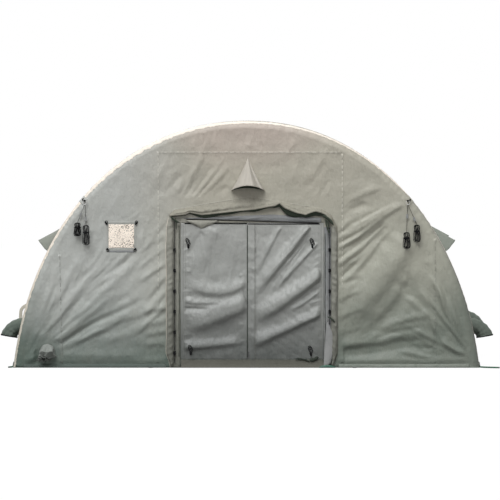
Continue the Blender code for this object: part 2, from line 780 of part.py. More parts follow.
SEAM_X = DOOR_RIGHT - GAP - leaf_width
SLIDER = [
    (-0.008, 0.0),
    (-0.006, -0.022),
    (-0.010, -0.030),
    (-0.010, -0.066),
    (0.0, -0.074),
    (0.010, -0.066),
    (0.010, -0.030),
    (0.006, -0.022),
    (0.008, 0.0),
    (0.0, 0.006),
]
SLIDER_THICK = 0.005
SLIDER_INSET = 0.014        # of the slider's middle from the edge of the strip
SLIDER_Z = 0.19
slider = plate("zip_slider", [SLIDER], SLIDER_THICK, VALVE_PLASTIC)
slider.rotation_euler = (math.pi / 2, 0, 0)
slider.location = (SEAM_X + SLIDER_INSET, FRONT - STRIP_PROUD - GAP - SLIDER_THICK / 2, SLIDER_Z)

# Window: a welt round the hole, and a panel hinged at its top edge
panel_left = WINDOW_X - WINDOW_WIDTH / 2
panel_right = WINDOW_X + WINDOW_WIDTH / 2
panel_bottom = WINDOW_Z - WINDOW_HEIGHT / 2
panel_top = WINDOW_Z + WINDOW_HEIGHT / 2
grown = WINDOW_CLEAR + WINDOW_FRAME
WELT = [
    rectangle(panel_left - grown, panel_right + grown, panel_bottom - grown, panel_top + grown),
    rectangle(
        panel_left - WINDOW_CLEAR,
        panel_right + WINDOW_CLEAR,
        panel_bottom - WINDOW_CLEAR,
        panel_top + WINDOW_CLEAR,
    ),
]
WELT_THICK = 0.003
PANEL_THICK = 0.004
stand_up(plate("window_frame", WELT, WELT_THICK, CANVAS), FACE - WELT_THICK / 2)
panel_outline = [rectangle(-WINDOW_WIDTH / 2, WINDOW_WIDTH / 2, -WINDOW_HEIGHT, 0)]
panel = plate("window_panel", panel_outline, PANEL_THICK, CLEAR_PANEL)
panel.rotation_euler = (math.pi / 2, 0, 0)
panel.location = (WINDOW_X, FACE - PANEL_THICK / 2, panel_top)

# Guy anchors on the rim of the cover, with their lines, runners and hanks


def guy_anchor(name, side):
    """A webbing patch sewn over the rim, with its ring. Returns the foot of the ring."""
    point, normal = on_side(side, GUY_Z)
    lean = math.sqrt(0.5)
    shift = RIM * (1 - lean)
    middle = Vector((point[0] - normal[0] * shift, FRONT + shift, point[1] - normal[1] * shift))
    out = Vector((normal[0] * lean, -lean, normal[1] * lean))
    bm = bmesh.new()
    bmesh.ops.create_cube(bm, size=1.0)
    bmesh.ops.scale(bm, vec=(0.060, 0.085, 0.030), verts=bm.verts)
    patch = mesh_piece(name, bm, BLACK_CORD, smooth=False)
    across = Vector((0, 1, 0)) - out * out.y
    across.normalize()
    turn = Matrix((across, out.cross(across), out)).transposed()
    patch.matrix_world = Matrix.Translation(middle - out * 0.005) @ turn.to_4x4()
    ring = 0.022
    wire = 0.003
    foot = Vector((middle.x - side * 0.015, FRONT - GUY_STAND_OFF, middle.z - 0.055))
    centre = foot + Vector((0, 0, ring + wire))
    loop = [
        centre + Vector((ring * math.cos(a), 0, ring * math.sin(a)))
        for a in np.linspace(0, 2 * math.pi, 16, endpoint=False)
    ]
    tag = as_mesh(tube(f"{name}_ring", loop, wire, None, 2, cyclic=True, collection=CUTTERS))
    tag.hide_render = True
    tag.display_type = "WIRE"
    stem_top = middle + out * 0.002
    stem = [centre + Vector((0, 0, ring)), (centre + stem_top) / 2 + Vector((0, -0.004, 0.02)), stem_top]
    strap = as_mesh(tube(f"{name}_strap", stem, 0.005, None, 1, collection=CUTTERS))
    strap.hide_render = True
    strap.display_type = "WIRE"
    boolean(patch, tag, "UNION")
    boolean(patch, strap, "UNION")
    boolean(patch, OUTSIDE)
    return foot


def hank_path(top, width, height):
    """Centre line of a hank: loops side by side, each drawn in alike at the waist."""
    points = []
    turns = HANK_LOOPS - 0.2
    count = int(LOOP_POINTS * turns)
    waist = 0.36
    for k in range(count + 1):
        turn = k / LOOP_POINTS
        fall = (1 - math.cos(2 * math.pi * turn)) / 2
        narrow = 1 - 0.55 * math.exp(-(((fall - waist) / 0.16) ** 2))
        grow = min(turn / 0.2, 1.0)
        x = width / 2 * math.sin(2 * math.pi * turn) * narrow * grow
        points.append((top[0] + x, top[1] - HANK_PITCH * turn, top[2] - 2 * HANK_CORD - height * fall))
    return [tuple(top)] + points


def least_gap(points, radius):
    """Least clearance between parts of a wound tube that aren't neighbours along it."""
    path = np.array(points)
    middles = (path[1:] + path[:-1]) / 2
    spread = np.linalg.norm(middles[:, None] - middles[None], axis=2)
    run = np.concatenate([[0], np.cumsum(np.linalg.norm(np.diff(middles, axis=0), axis=1))])
    apart = np.abs(run[:, None] - run[None]) > 8 * radius
    return float(spread[apart].min() - 2 * radius)


def guy(number, foot, drop, hank_size, runner_share):
    """One guy line with its runner, hung in a hank."""
    tilt = abs(drop[0]) / math.hypot(*drop)
    start = foot + Vector((0.003 * np.sign(drop[0]), 0, -GAP - CORD * tilt / 2))
    end = start + Vector((drop[0], 0, -drop[1]))
    steps = [start.lerp(end, share) for share in np.linspace(0, 1, 5)]
    tube(f"guy_line_{number}", steps, CORD, BLACK_CORD, 2)
    width, height = hank_size
    top = end + Vector((0, 0, -CORD * tilt - GAP))
    path = hank_path(top, width, height)
    tube(f"guy_hank_{number}", path, HANK_CORD, BLACK_CORD, 1)
    print(f"guy_hank_{number} least gap to itself {1000 * least_gap(path, HANK_CORD):.2f} mm")
    way = (end - start).normalized()
    bm = bmesh.new()
    bmesh.ops.create_cube(bm, size=1.0)
    bmesh.ops.scale(bm, vec=(0.026, 0.009, 0.052), verts=bm.verts)
    bmesh.ops.bevel(
        bm, geom=bm.edges[:], offset=0.002, segments=1, profile=0.5, affect="EDGES"
    )
    runner = mesh_piece(f"guy_runner_{number}", bm, GREY_RUNNER, smooth=False)
    turn = Vector((0, 0, -1)).rotation_difference(way).to_matrix()
    place = start.lerp(end, runner_share)
    runner.matrix_world = Matrix.Translation(place) @ turn.to_4x4()
    bore = drum(f"guy_runner_{number}_bore", place, way, CORD + 0.0005, 0.1)
    boolean(runner, bore)
    place_text = tuple(round(v, 5) for v in place)
    print(f"guy_runner_{number} at {place_text} along {tuple(round(v, 6) for v in way)}")


left_foot = guy_anchor("guy_patch_left", -1)
right_foot = guy_anchor("guy_patch_right", 1)
guy(1, left_foot, (-0.085, 0.215), (0.070, 0.15), 0.55)
guy(2, left_foot, (0.012, 0.245), (0.080, 0.23), 0.70)
guy(3, right_foot, (-0.012, 0.330), (0.080, 0.19), 0.42)
guy(4, right_foot, (0.105, 0.240), (0.066, 0.20), 0.72)

# Corner ropes and peg loops, on the ground


def smooth_path(points, count):
    """Points at equal steps on a smooth curve through chosen points."""
    chosen = np.array(points, dtype=float)
    ends = np.concatenate([[2 * chosen[0] - chosen[1]], chosen, [2 * chosen[-1] - chosen[-2]]])
    fine = []
    for k in range(1, len(ends) - 2):
        before, here, there, after = ends[k - 1 : k + 3]
        for t in np.linspace(0, 1, 20, endpoint=False):
            fine.append(
                0.5
                * (
                    2 * here
                    + (there - before) * t
                    + (2 * before - 5 * here + 4 * there - after) * t**2
                    + (3 * here - before - 3 * there + after) * t**3
                )
            )
    fine.append(chosen[-1])
    fine = np.array(fine)
    run = np.concatenate([[0], np.cumsum(np.linalg.norm(np.diff(fine, axis=0), axis=1))])
    steps = np.linspace(0, run[-1], count)
    return np.stack([np.interp(steps, run, fine[:, k]) for k in range(3)], axis=1)


rope_z = ROPE + GAP
rope_x = WIDTH / 2 + ROPE * 0.88      # nearly touching the groundsheet's edge
side_x = WIDTH / 2
ROPE_RIGHT = (
    (rope_x, FRONT + 0.06, rope_z),
    (side_x + 0.025, FRONT - 0.02, rope_z),
    (side_x + 0.10, FRONT - 0.13, rope_z),
    (side_x + 0.23, FRONT - 0.25, rope_z),
)
ROPE_LEFT = (
    (-rope_x, FRONT + 0.06, rope_z),
    (-side_x - 0.02, FRONT, rope_z),
    (-side_x - 0.05, FRONT - 0.08, rope_z),
)
tube("corner_rope_right", smooth_path(ROPE_RIGHT, 12), ROPE, GREEN_ROPE, 2)
tube("corner_rope_left", smooth_path(ROPE_LEFT, 6), ROPE, GREEN_ROPE, 2)

for side_name, loop_x in (("left", -1.15), ("right", 1.30)):
    peg_z = PEG_CORD + GAP
    route = (
        (loop_x - 0.018, FACE - 0.0005, peg_z),
        (loop_x - 0.024, FACE - 0.045, peg_z),
        (loop_x, FACE - 0.085, peg_z),
        (loop_x + 0.024, FACE - 0.045, peg_z),
        (loop_x + 0.018, FACE - 0.0005, peg_z),
    )
    tube(f"peg_loop_{side_name}", smooth_path(route, 15), PEG_CORD, BLACK_CORD, 2)

# Inflation valve with its cap on the right leg of the front arch, relief valve on the left leg


def valve_frame(side, height):
    """Seat of a valve on the inner side of the front arch, and its direction into the tent."""
    point, normal = on_side(side, height, BEAM_INSET)
    out = Vector((-normal[0], 0, -normal[1]))
    middle = Vector((point[0], ARCH_Y[0], point[1]))
    return middle + out * (BEAM + GAP), out


VALVE_Z = 0.62
VALVE_BODY = [(0, 0.022), (0.020, 0.022), (0.020, 0.008), (0.034, 0.006), (0.036, 0), (0, 0)]
VALVE_CAP = [(0, 0.016), (0.020, 0.016), (0.024, 0.012), (0.024, 0), (0, 0)]
RELIEF_KNOB = [
    (0, 0.018),
    (0.010, 0.018),
    (0.014, 0.014),
    (0.014, 0.010),
    (0.008, 0.006),
    (0.008, 0),
    (0, 0),
]
for side, body_name, cap_name, cap_profile in (
    (1, "inflation_valve", "inflation_valve_cap", VALVE_CAP),
    (-1, "relief_valve", "relief_valve_knob", RELIEF_KNOB),
):
    seat, out = valve_frame(side, VALVE_Z)
    lean = Vector((0, 0, 1)).rotation_difference(out).to_euler()
    body = turned(body_name, VALVE_BODY, VALVE_PLASTIC)
    body.rotation_euler = lean
    body.location = seat
    cap = turned(cap_name, cap_profile, VALVE_PLASTIC)
    cap.rotation_euler = lean
    cap.location = seat + out * (VALVE_BODY[0][1] + GAP)
    place = tuple(round(v, 5) for v in cap.location)
    print(f"{cap_name} at {place} along {tuple(round(v, 6) for v in out)}")
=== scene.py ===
"""Looks of the inflatable tunnel tent: canvas, cords, door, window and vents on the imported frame.

Metres, +Z up, the front end wall facing -Y. Shapes are numpy surfaces: a grid of points worked
out from two parameters, or a profile carried along a path.
"""

import logging
import math
from dataclasses import dataclass, field
from enum import Enum

import bpy
import numpy as np
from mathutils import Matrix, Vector


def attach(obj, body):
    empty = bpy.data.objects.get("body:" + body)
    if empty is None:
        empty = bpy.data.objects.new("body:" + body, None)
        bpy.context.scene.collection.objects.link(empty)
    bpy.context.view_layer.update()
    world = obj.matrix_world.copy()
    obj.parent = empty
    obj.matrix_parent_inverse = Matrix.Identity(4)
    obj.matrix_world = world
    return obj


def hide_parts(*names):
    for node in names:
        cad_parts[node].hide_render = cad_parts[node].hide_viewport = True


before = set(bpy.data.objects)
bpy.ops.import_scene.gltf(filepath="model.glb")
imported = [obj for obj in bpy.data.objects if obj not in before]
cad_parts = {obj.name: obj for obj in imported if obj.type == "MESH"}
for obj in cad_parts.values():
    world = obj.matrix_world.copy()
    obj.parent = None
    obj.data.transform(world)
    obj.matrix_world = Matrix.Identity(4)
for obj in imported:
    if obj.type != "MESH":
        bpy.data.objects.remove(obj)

log = logging.getLogger("tunnel_tent")
Array = np.ndarray
Piece, Material, Tree = bpy.types.Object, bpy.types.Material, bpy.types.NodeTree
Node, Socket, Sockets = bpy.types.Node, bpy.types.NodeSocket, bpy.types.bpy_prop_collection
PI, TAU = math.pi, math.tau
X_WAY, Y_WAY, Z_WAY = np.eye(3)

FRONT = -3.2
WALL_FACE = -3.2003
RIM = 0.1
ARCH_Y = np.linspace(-3.0757, 3.0757, 4)
BAY = float(ARCH_Y[1] - ARCH_Y[0])
SAG = 0.02
FLOOR = 0.0065
HEM_FOOT = FLOOR - 0.006
HALF_WIDTH = 2.8
PURLIN_SHARES = (1 / 3, 2 / 3)
DOOR = (-0.79, 0.93)
HINGE_GAP = 0.0003
VENT = (0.02, 2.34)
VENT_RADIUS = 0.058
DUCT = (-2.39, 0.19)
CROWN_SEAM = 2.583
EDGE_INSET = RIM + 0.0015
SIDES = ((-1, "left"), (1, "right"))


class Body(Enum):
    """Bodies of the frame that pieces ride on."""

    SHELTER = "shelter"
    DOOR_LEFT = "door_left"
    DOOR_RIGHT = "door_right"
    WINDOW = "window"


class Slot(Enum):
    """Material slots that the finishes belong to."""

    CANVAS = "canvas"
    EDGE = "edge_cloth"
    BEAM = "beam_skin"
    FLOOR = "floor_skin"
    CORD = "black_cord"
    RUNNER = "grey_runner"
    ROPE = "green_rope"
    PANEL = "window_panel"
    PLASTIC = "valve_plastic"


class Look(Enum):
    """Finishes of the wardrobe."""

    WALL = "wall"
    LEAF = "leaf"
    ROOF = "roof"
    HOOD = "hood"
    DUCT = "duct"
    SLEEVE = "sleeve"
    EDGE = "edge"
    FLAP = "flap"
    SILL = "sill"
    CREAM = "cream"
    PALE = "pale"
    HEM = "hem"
    DARK = "dark"
    THREAD = "thread"
    SHADE_THREAD = "shade_thread"
    BEAM = "beam"
    FLOOR = "floor"
    CORD = "cord"
    RUNNER = "runner"
    RING = "ring"
    ROPE = "rope"
    TONGUE = "tongue"
    PANEL = "panel"
    PLASTIC = "plastic"


# Formulas shared by the surfaces


def coords(*parts: Array | float) -> Array:
    """Points, or faces, from their coordinates, which may be arrays or numbers."""
    return np.stack(np.broadcast_arrays(*parts), axis=-1)


def unit(way: Array) -> Array:
    """Directions of length one."""
    return way / np.linalg.norm(way, axis=-1, keepdims=True)


def circle(count: int) -> Array:
    """Equal angles once round."""
    return np.linspace(0, TAU, count, endpoint=False)


def ease(value: Array) -> Array:
    """Smooth step: 0 below 0, 1 above 1, and 3v^2 - 2v^3 between."""
    value = np.clip(value, 0.0, 1.0)
    return value * value * (3 - 2 * value)


def bell(value: Array, width: float, middle: float = 0.0) -> Array:
    """Bell curve: exp(-((value - middle) / width)^2)."""
    return np.exp(-(((value - middle) / width) ** 2))


def ripple(a: Array, b: Array, wave: float, seed: int, parts: int = 7) -> Array:
    """A calm random surface: the mean of sines of unlike directions and lengths.

    Args:
        a: first coordinate in metres.
        b: second coordinate in metres.
        wave: typical wavelength in metres.
        seed: seed of the directions, lengths and phases.
        parts: number of sines.

    Returns:
        Values from about -1 to 1.
    """
    rng = np.random.default_rng(seed)
    total = np.zeros(np.broadcast(a, b).shape)
    for _ in range(parts):
        way = rng.uniform(0, PI)
        length = wave * rng.uniform(0.55, 1.7)
        phase = rng.uniform(0, TAU)
        total += np.sin(TAU * (a * math.cos(way) + b * math.sin(way)) / length + phase)
    return total / math.sqrt(parts) / 1.3


def spaced(breaks: list[float], step: float) -> Array:
    """Lines at about one step apart that pass through every break.

    Args:
        breaks: places that need a line.
        step: distance wanted between lines.

    Returns:
        Places of all the lines, in order.
    """
    runs = []
    for low, high in zip(breaks, breaks[1:]):
        count = max(1, round((high - low) / step))
        runs.append(np.linspace(low, high, count, endpoint=False))
    return np.concatenate([*runs, [breaks[-1]]])


def smooth_path(points: Array, count: int) -> Array:
    """Equal steps on the Catmull-Rom curve through chosen points.

    Args:
        points: chosen points, one row each.
        count: number of points wanted.

    Returns:
        The points of the curve, count rows.
    """
    chosen = np.asarray(points, float)
    ends = np.concatenate([[2 * chosen[0] - chosen[1]], chosen, [2 * chosen[-1] - chosen[-2]]])
    t = np.linspace(0, 1, 20, endpoint=False)[:, None]
    fine = [(2 * here + (there - before) * t + (2 * before - 5 * here + 4 * there - after) * t**2
             + (3 * here - before - 3 * there + after) * t**3) / 2
            for before, here, there, after in zip(ends, ends[1:], ends[2:], ends[3:])]
    return resampled(np.concatenate([*fine, chosen[-1:]]), count)


def run_of(path: Array) -> Array:
    """Distance travelled along a path at each of its points."""
    return np.concatenate([[0], np.cumsum(np.linalg.norm(np.diff(path, axis=0), axis=1))])


def read_off(at: Array, run: Array, values: Array) -> Array:
    """Rows of values between those known at points along a run."""
    return np.stack([np.interp(at, run, column) for column in values.T], axis=-1)


def resampled(path: Array, count: int) -> Array:
    """The same path in a number of equal steps."""
    run = run_of(path)
    return read_off(np.linspace(0, run[-1], count), run, path)


@dataclass(frozen=True)
class Fold:
    """A crest or valley in cloth along a bent line, in the plane of the wall.

    Its height at a point is height * exp(-(d / w)^2), where d is the distance from the line and
    w the width there, faded at both ends. Below a crest w is narrower, and above it wider, as
    cloth hangs; for a valley it is the other way round.
    """

    start: tuple[float, float]
    middle: tuple[float, float]
    end: tuple[float, float]
    width: float
    height: float
    narrow: float = 1.0         # share of the width at the start
    lead: float = 0.12          # share of the length over which the start fades

    def at(self, x: Array, z: Array) -> Array:
        """Height of the fold at points of the wall.

        Args:
            x: places across the wall.
            z: places up the wall.

        Returns:
            Heights in metres, out of the wall.
        """
        start, middle, end = (np.array(p) for p in (self.start, self.middle, self.end))
        control = 2 * middle - (start + end) / 2
        t = np.linspace(0, 1, 19)[:, None]
        line = (1 - t) ** 2 * start + 2 * t * (1 - t) * control + t**2 * end
        reach = 3.0 * self.width
        near = (x > line[:, 0].min() - reach) & (x < line[:, 0].max() + reach)
        near &= (z > line[:, 1].min() - reach) & (z < line[:, 1].max() + reach)
        out = np.zeros(x.shape)
        if not near.any():
            return out
        point = coords(x[near], z[near])[:, None]
        leg = np.diff(line, axis=0)
        along = ((point - line[:-1]) * leg).sum(-1) / (leg**2).sum(-1)
        along = np.clip(along, 0, 1)
        gap = np.linalg.norm(point - line[:-1] - along[..., None] * leg, axis=-1)
        best = gap.argmin(1)
        rows = np.arange(len(best))
        share = (best + along[rows, best]) / len(leg)
        width = self.width * (self.narrow + (1 - self.narrow) * share)
        lean = coords(-leg[:, 1], leg[:, 0])
        lean *= np.where(lean[:, 1:] < 0, -1, 1)
        above = ((point[:, 0] - line[best]) * lean[best]).sum(-1) > 0
        width = width * np.where(above == (self.height > 0), 1.25, 0.62)
        fade = ease(share / self.lead) if self.lead > 0 else 1.0
        fade = fade * ease((1 - share) / 0.3)
        out[near] = self.height * bell(gap[rows, best], width) * fade
        return out


@dataclass(frozen=True)
class Fan:
    """Folds that spread from a point where the cloth is pulled.

    The height is h sin(p + 0.5 sin p) + h/2 sin(q), faded towards both bounding angles, the
    point and the far end, where p and q grow with the angle about the point and waver with the
    distance from it.
    """

    point: tuple[float, float]
    low: float
    high: float
    near: float
    far: float
    crests: float
    height: float
    seed: int

    def at(self, x: Array, z: Array) -> Array:
        """Height of the folds at points of the wall, in metres.

        Args:
            x: places across the wall.
            z: places up the wall.

        Returns:
            Heights in metres, out of the wall.
        """
        right, up = x - self.point[0], z - self.point[1]
        reach = np.hypot(right, up)
        angle = np.degrees(np.arctan2(up, right)) % 360
        share = (angle - self.low) / (self.high - self.low)
        inside = ease(share / 0.18) * ease((1 - share) / 0.18)
        inside = inside * ease(reach / self.near) * ease((self.far - reach) / (0.5 * self.far))
        waver = 0.9 * ripple(reach, 2 * share, 1.3, self.seed)
        p = TAU * self.crests * share + 2.0 * waver + self.seed
        q = TAU * 1.9 * self.crests * share + 3.0 * ripple(reach, share, 0.8, self.seed + 1)
        strength = 0.65 + 0.5 * ripple(reach * 0.6, 3 * share, 0.9, self.seed + 2)
        return self.height * inside * strength * (np.sin(p + 0.5 * np.sin(p)) + 0.5 * np.sin(q))


Folds = list[Fold | Fan]


def fold_rows(*rows: tuple[float, ...]) -> Folds:
    """Folds from rows: x and z of the start, the middle and the end, and then the other fields."""
    return [Fold(row[:2], row[2:4], row[4:6], *row[6:]) for row in rows]


def folded(x: Array, z: Array, folds: Folds) -> Array:
    """Sum of the heights of folds.

    Args:
        x: first coordinates.
        z: second coordinates.
        folds: the folds.

    Returns:
        Heights in metres.
    """
    total = np.zeros(np.shape(x))
    for fold in folds:
        total += fold.at(x, z)
    return total


# Mesh makers


def mesh_piece(name: str, verts: Array, faces: list, uv: Array | None = None) -> Piece:
    """A smooth-shaded mesh object at the origin.

    Args:
        name: name of the piece.
        verts: vertices, one row each.
        faces: vertex numbers of each face.
        uv: place of each vertex on its flat cloth, in metres.

    Returns:
        The object, linked to the scene.
    """
    data = bpy.data.meshes.new(name)
    data.from_pydata(np.asarray(verts, float).tolist(), [], [list(map(int, f)) for f in faces])
    data.validate()
    if uv is not None:
        layer = data.uv_layers.new(name="UVMap")
        index = np.zeros(len(data.loops), int)
        data.loops.foreach_get("vertex_index", index)
        layer.data.foreach_set("uv", np.asarray(uv, np.float32)[index].ravel())
    data.shade_smooth()
    thing = bpy.data.objects.new(name, data)
    bpy.context.scene.collection.objects.link(thing)
    return thing


def quads(rows: int, columns: int, closed: bool = False) -> Array:
    """Vertex numbers of a grid's faces, which look along the cross product of columns and rows.

    Args:
        rows: number of rows.
        columns: points in a row.
        closed: whether each row closes on itself.

    Returns:
        Four vertex numbers for each face.
    """
    r, c = np.meshgrid(np.arange(rows - 1), np.arange(columns if closed else columns - 1), indexing="ij")
    here = r * columns + c
    right = r * columns + (c + 1) % columns
    return coords(here, right, right + columns, here + columns).reshape(-1, 4)


def flat_uv(grid: Array) -> Array:
    """Mean distances travelled along rows and columns, as places on the flat cloth.

    Args:
        grid: points by rows and columns.

    Returns:
        Place of each point in metres, row by row.
    """
    across = np.linalg.norm(np.diff(grid, axis=1), axis=-1).mean(0)
    down = np.linalg.norm(np.diff(grid, axis=0), axis=-1).mean(1)
    u = np.concatenate([[0], np.cumsum(across)])
    v = np.concatenate([[0], np.cumsum(down)])
    return np.stack(np.meshgrid(u, v), axis=-1).reshape(-1, 2)


def cloth(name: str, grid: Array, thickness: float = 0.003) -> Piece:
    """A sheet through a grid of points, given its thickness behind its outer face.

    Args:
        name: name of the piece.
        grid: points by rows and columns.
        thickness: thickness of the cloth.

    Returns:
        The piece.
    """
    rows, columns = grid.shape[:2]
    thing = mesh_piece(name, grid.reshape(-1, 3), quads(rows, columns), flat_uv(grid))
    thicken(thing, thickness)
    return thing


def thicken(thing: Piece, thickness: float) -> None:
    """Give an open sheet its thickness, on the side its faces turn away from.

    Args:
        thing: the sheet.
        thickness: its thickness.
    """
    shell = thing.modifiers.new("thickness", "SOLIDIFY")
    shell.thickness = thickness
    shell.offset = -1


def loft(name: str, rings: Array, hollow: float = 0.0) -> Piece:
    """A closed skin through rings of points.

    Args:
        name: name of the piece.
        rings: rings, by rows, of points in order round the ring.
        hollow: wall thickness of an open-ended sleeve, or 0 for a body with closed ends.

    Returns:
        The object.
    """
    rows, columns = rings.shape[:2]
    verts = rings.reshape(-1, 3)
    faces = quads(rows, columns, closed=True)
    wrapped = np.concatenate([rings, rings[:, :1]], axis=1)
    uv = flat_uv(wrapped).reshape(rows, columns + 1, 2)[:, :columns].reshape(-1, 2)
    if hollow:
        thing = mesh_piece(name, verts, list(faces), uv)
        thicken(thing, hollow)
        return thing
    ends = np.stack([rings[0].mean(0), rings[-1].mean(0)])
    first, last = len(verts), len(verts) + 1
    ring = np.arange(columns)
    turn = (ring + 1) % columns
    low = coords(np.full(columns, first), turn, ring)
    top = (rows - 1) * columns
    high = coords(np.full(columns, last), top + ring, top + turn)
    uv = np.concatenate([uv, uv[:1], uv[-1:]])
    return mesh_piece(name, np.concatenate([verts, ends]), [*faces, *low, *high], uv)


def frames(path: Array) -> tuple[Array, Array]:
    """Two directions square to a path, carried along it with as little turning as can be.

    Args:
        path: points of the path.

    Returns:
        The two directions at each point.
    """
    ahead = unit(np.gradient(path, axis=0))
    start = Z_WAY if abs(ahead[0, 2]) < 0.9 else Y_WAY
    side = np.zeros_like(path)
    side[0] = start - ahead[0] * (start @ ahead[0])
    side[0] = unit(side[0])
    for k in range(1, len(path)):
        side[k] = side[k - 1] - ahead[k] * (side[k - 1] @ ahead[k])
        side[k] = unit(side[k])
    return side, np.cross(ahead, side)


def tube_rings(path: Array, radius: Array | float, sides: int, lay: float = 0.0, strands: int = 3) -> Array:
    """Rings of a tube: middle + r (cos a * side + sin a * other), grooved where it is laid.

    Args:
        path: points of the middle line.
        radius: radius along the path.
        sides: points round each ring.
        lay: length of one turn of the strands, or 0 for a plain tube.
        strands: number of strands of a laid rope.

    Returns:
        Rings by points.
    """
    side, other = frames(path)
    turn = circle(sides)
    size = np.broadcast_to(np.asarray(radius, float), (len(path),))[:, None] * np.ones(sides)
    if lay:
        twist = TAU * run_of(path)[:, None] / lay
        size = size * (0.8 + 0.2 * np.abs(np.cos(strands * (turn - twist) / 2)))
    swing = np.cos(turn)[:, None] * side[:, None] + np.sin(turn)[:, None] * other[:, None]
    return path[:, None] + size[..., None] * swing


def tube(name: str, path: Array, radius: Array | float, sides: int = 12,
        lay: float = 0.0) -> Piece:
    """A closed tube along a path."""
    return loft(name, tube_rings(np.asarray(path, float), radius, sides, lay))


def cord_curve(name: str, path: Array, radius: float) -> Piece:
    """A cord as one open spline with a round section.

    Args:
        name: name of the piece.
        path: points of its middle line.
        radius: radius of the cord.

    Returns:
        The cord.
    """
    curve = bpy.data.curves.new(name, "CURVE")
    curve.dimensions = "3D"
    curve.bevel_depth = radius
    curve.bevel_resolution = 3
    curve.use_fill_caps = True
    spline = curve.splines.new("POLY")
    spline.points.add(len(path) - 1)
    flat = np.concatenate([path, np.ones((len(path), 1))], axis=1)
    spline.points.foreach_set("co", flat.astype(np.float32).ravel())
    spline.use_smooth = True
    thing = bpy.data.objects.new(name, curve)
    bpy.context.scene.collection.objects.link(thing)
    return thing


# One stitch: the corners of its foot and of its top, and its faces
GRAIN = np.array(
    [
        (-0.5, -0.35, 0), (0.5, -0.35, 0), (0.5, 0.35, 0), (-0.5, 0.35, 0),
        (-0.28, -0.3, 1), (0.28, -0.3, 1), (0.28, 0.3, 1), (-0.28, 0.3, 1),
    ]
)
GRAIN_FACES = np.array(
    [(0, 3, 2, 1), (4, 5, 6, 7), (0, 1, 5, 4), (1, 2, 6, 5), (2, 3, 7, 6), (3, 0, 4, 7)]
)


def stitches(name: str, paths: list[Array], normal: Array, pitch: float = 0.016,
             width: float = 0.0045, height: float = 0.0016) -> Piece:
    """Rows of stitches: one small raised grain at each equal step of each path.

    Args:
        name: name of the piece.
        paths: lines on the cloth.
        normal: outward direction of the cloth, one or one for each point of a path.
        pitch: distance between stitches.
        width: width of a stitch.
        height: height of a stitch over the cloth.

    Returns:
        All the rows as one mesh.
    """
    verts, faces = [], []
    count = 0
    for path in paths:
        run = run_of(path)
        at = np.arange(pitch / 2, run[-1], pitch)
        place = read_off(at, run, path)
        out = unit(read_off(at, run, np.broadcast_to(np.asarray(normal, float), path.shape)))
        way = read_off(at, run, np.gradient(path, run, axis=0))
        way = unit(way - out * (way * out).sum(1)[:, None])
        side = np.cross(out, way)
        grain = (
            place[:, None]
            + GRAIN[:, :1] * way[:, None] * pitch * 0.72
            + GRAIN[:, 1:2] * side[:, None] * width
            + GRAIN[:, 2:] * out[:, None] * height
        )
        verts.append(grain.reshape(-1, 3))
        step = (np.arange(len(at)) * 8)[:, None, None] + GRAIN_FACES + count
        faces.append(step.reshape(-1, 4))
        count += len(at) * 8
    return mesh_piece(name, np.concatenate(verts), list(np.concatenate(faces)))


def ribbon(name: str, path: Array, across: Array, normal: Array, width: float,
        height: float = 0.002) -> Piece:
    """A flat tape along a path, with a crowned face and closed edges.

    Args:
        name: name of the piece.
        path: middle line of the tape's back.
        across: direction of its width, one or one for each point.
        normal: direction of its face.
        width: width of the tape.
        height: thickness.

    Returns:
        The tape, as a loft of flat rings.
    """
    path = np.asarray(path, float)
    across = np.broadcast_to(np.asarray(across, float), path.shape)
    normal = np.broadcast_to(np.asarray(normal, float), path.shape)
    shape = np.array([(-0.5, 0), (-0.5, 0.7), (-0.42, 1.0), (0.42, 1.0), (0.5, 0.7), (0.5, 0)])
    rings = path[:, None] + shape[:, :1] * across[:, None] * width
    rings = rings + shape[:, 1:] * normal[:, None] * height
    ahead = path[1] - path[0]
    if np.cross(normal[0], ahead) @ across[0] > 0:
        rings = rings[:, ::-1]
    return loft(name, rings)


# Effects shared by the finishes, as node groups


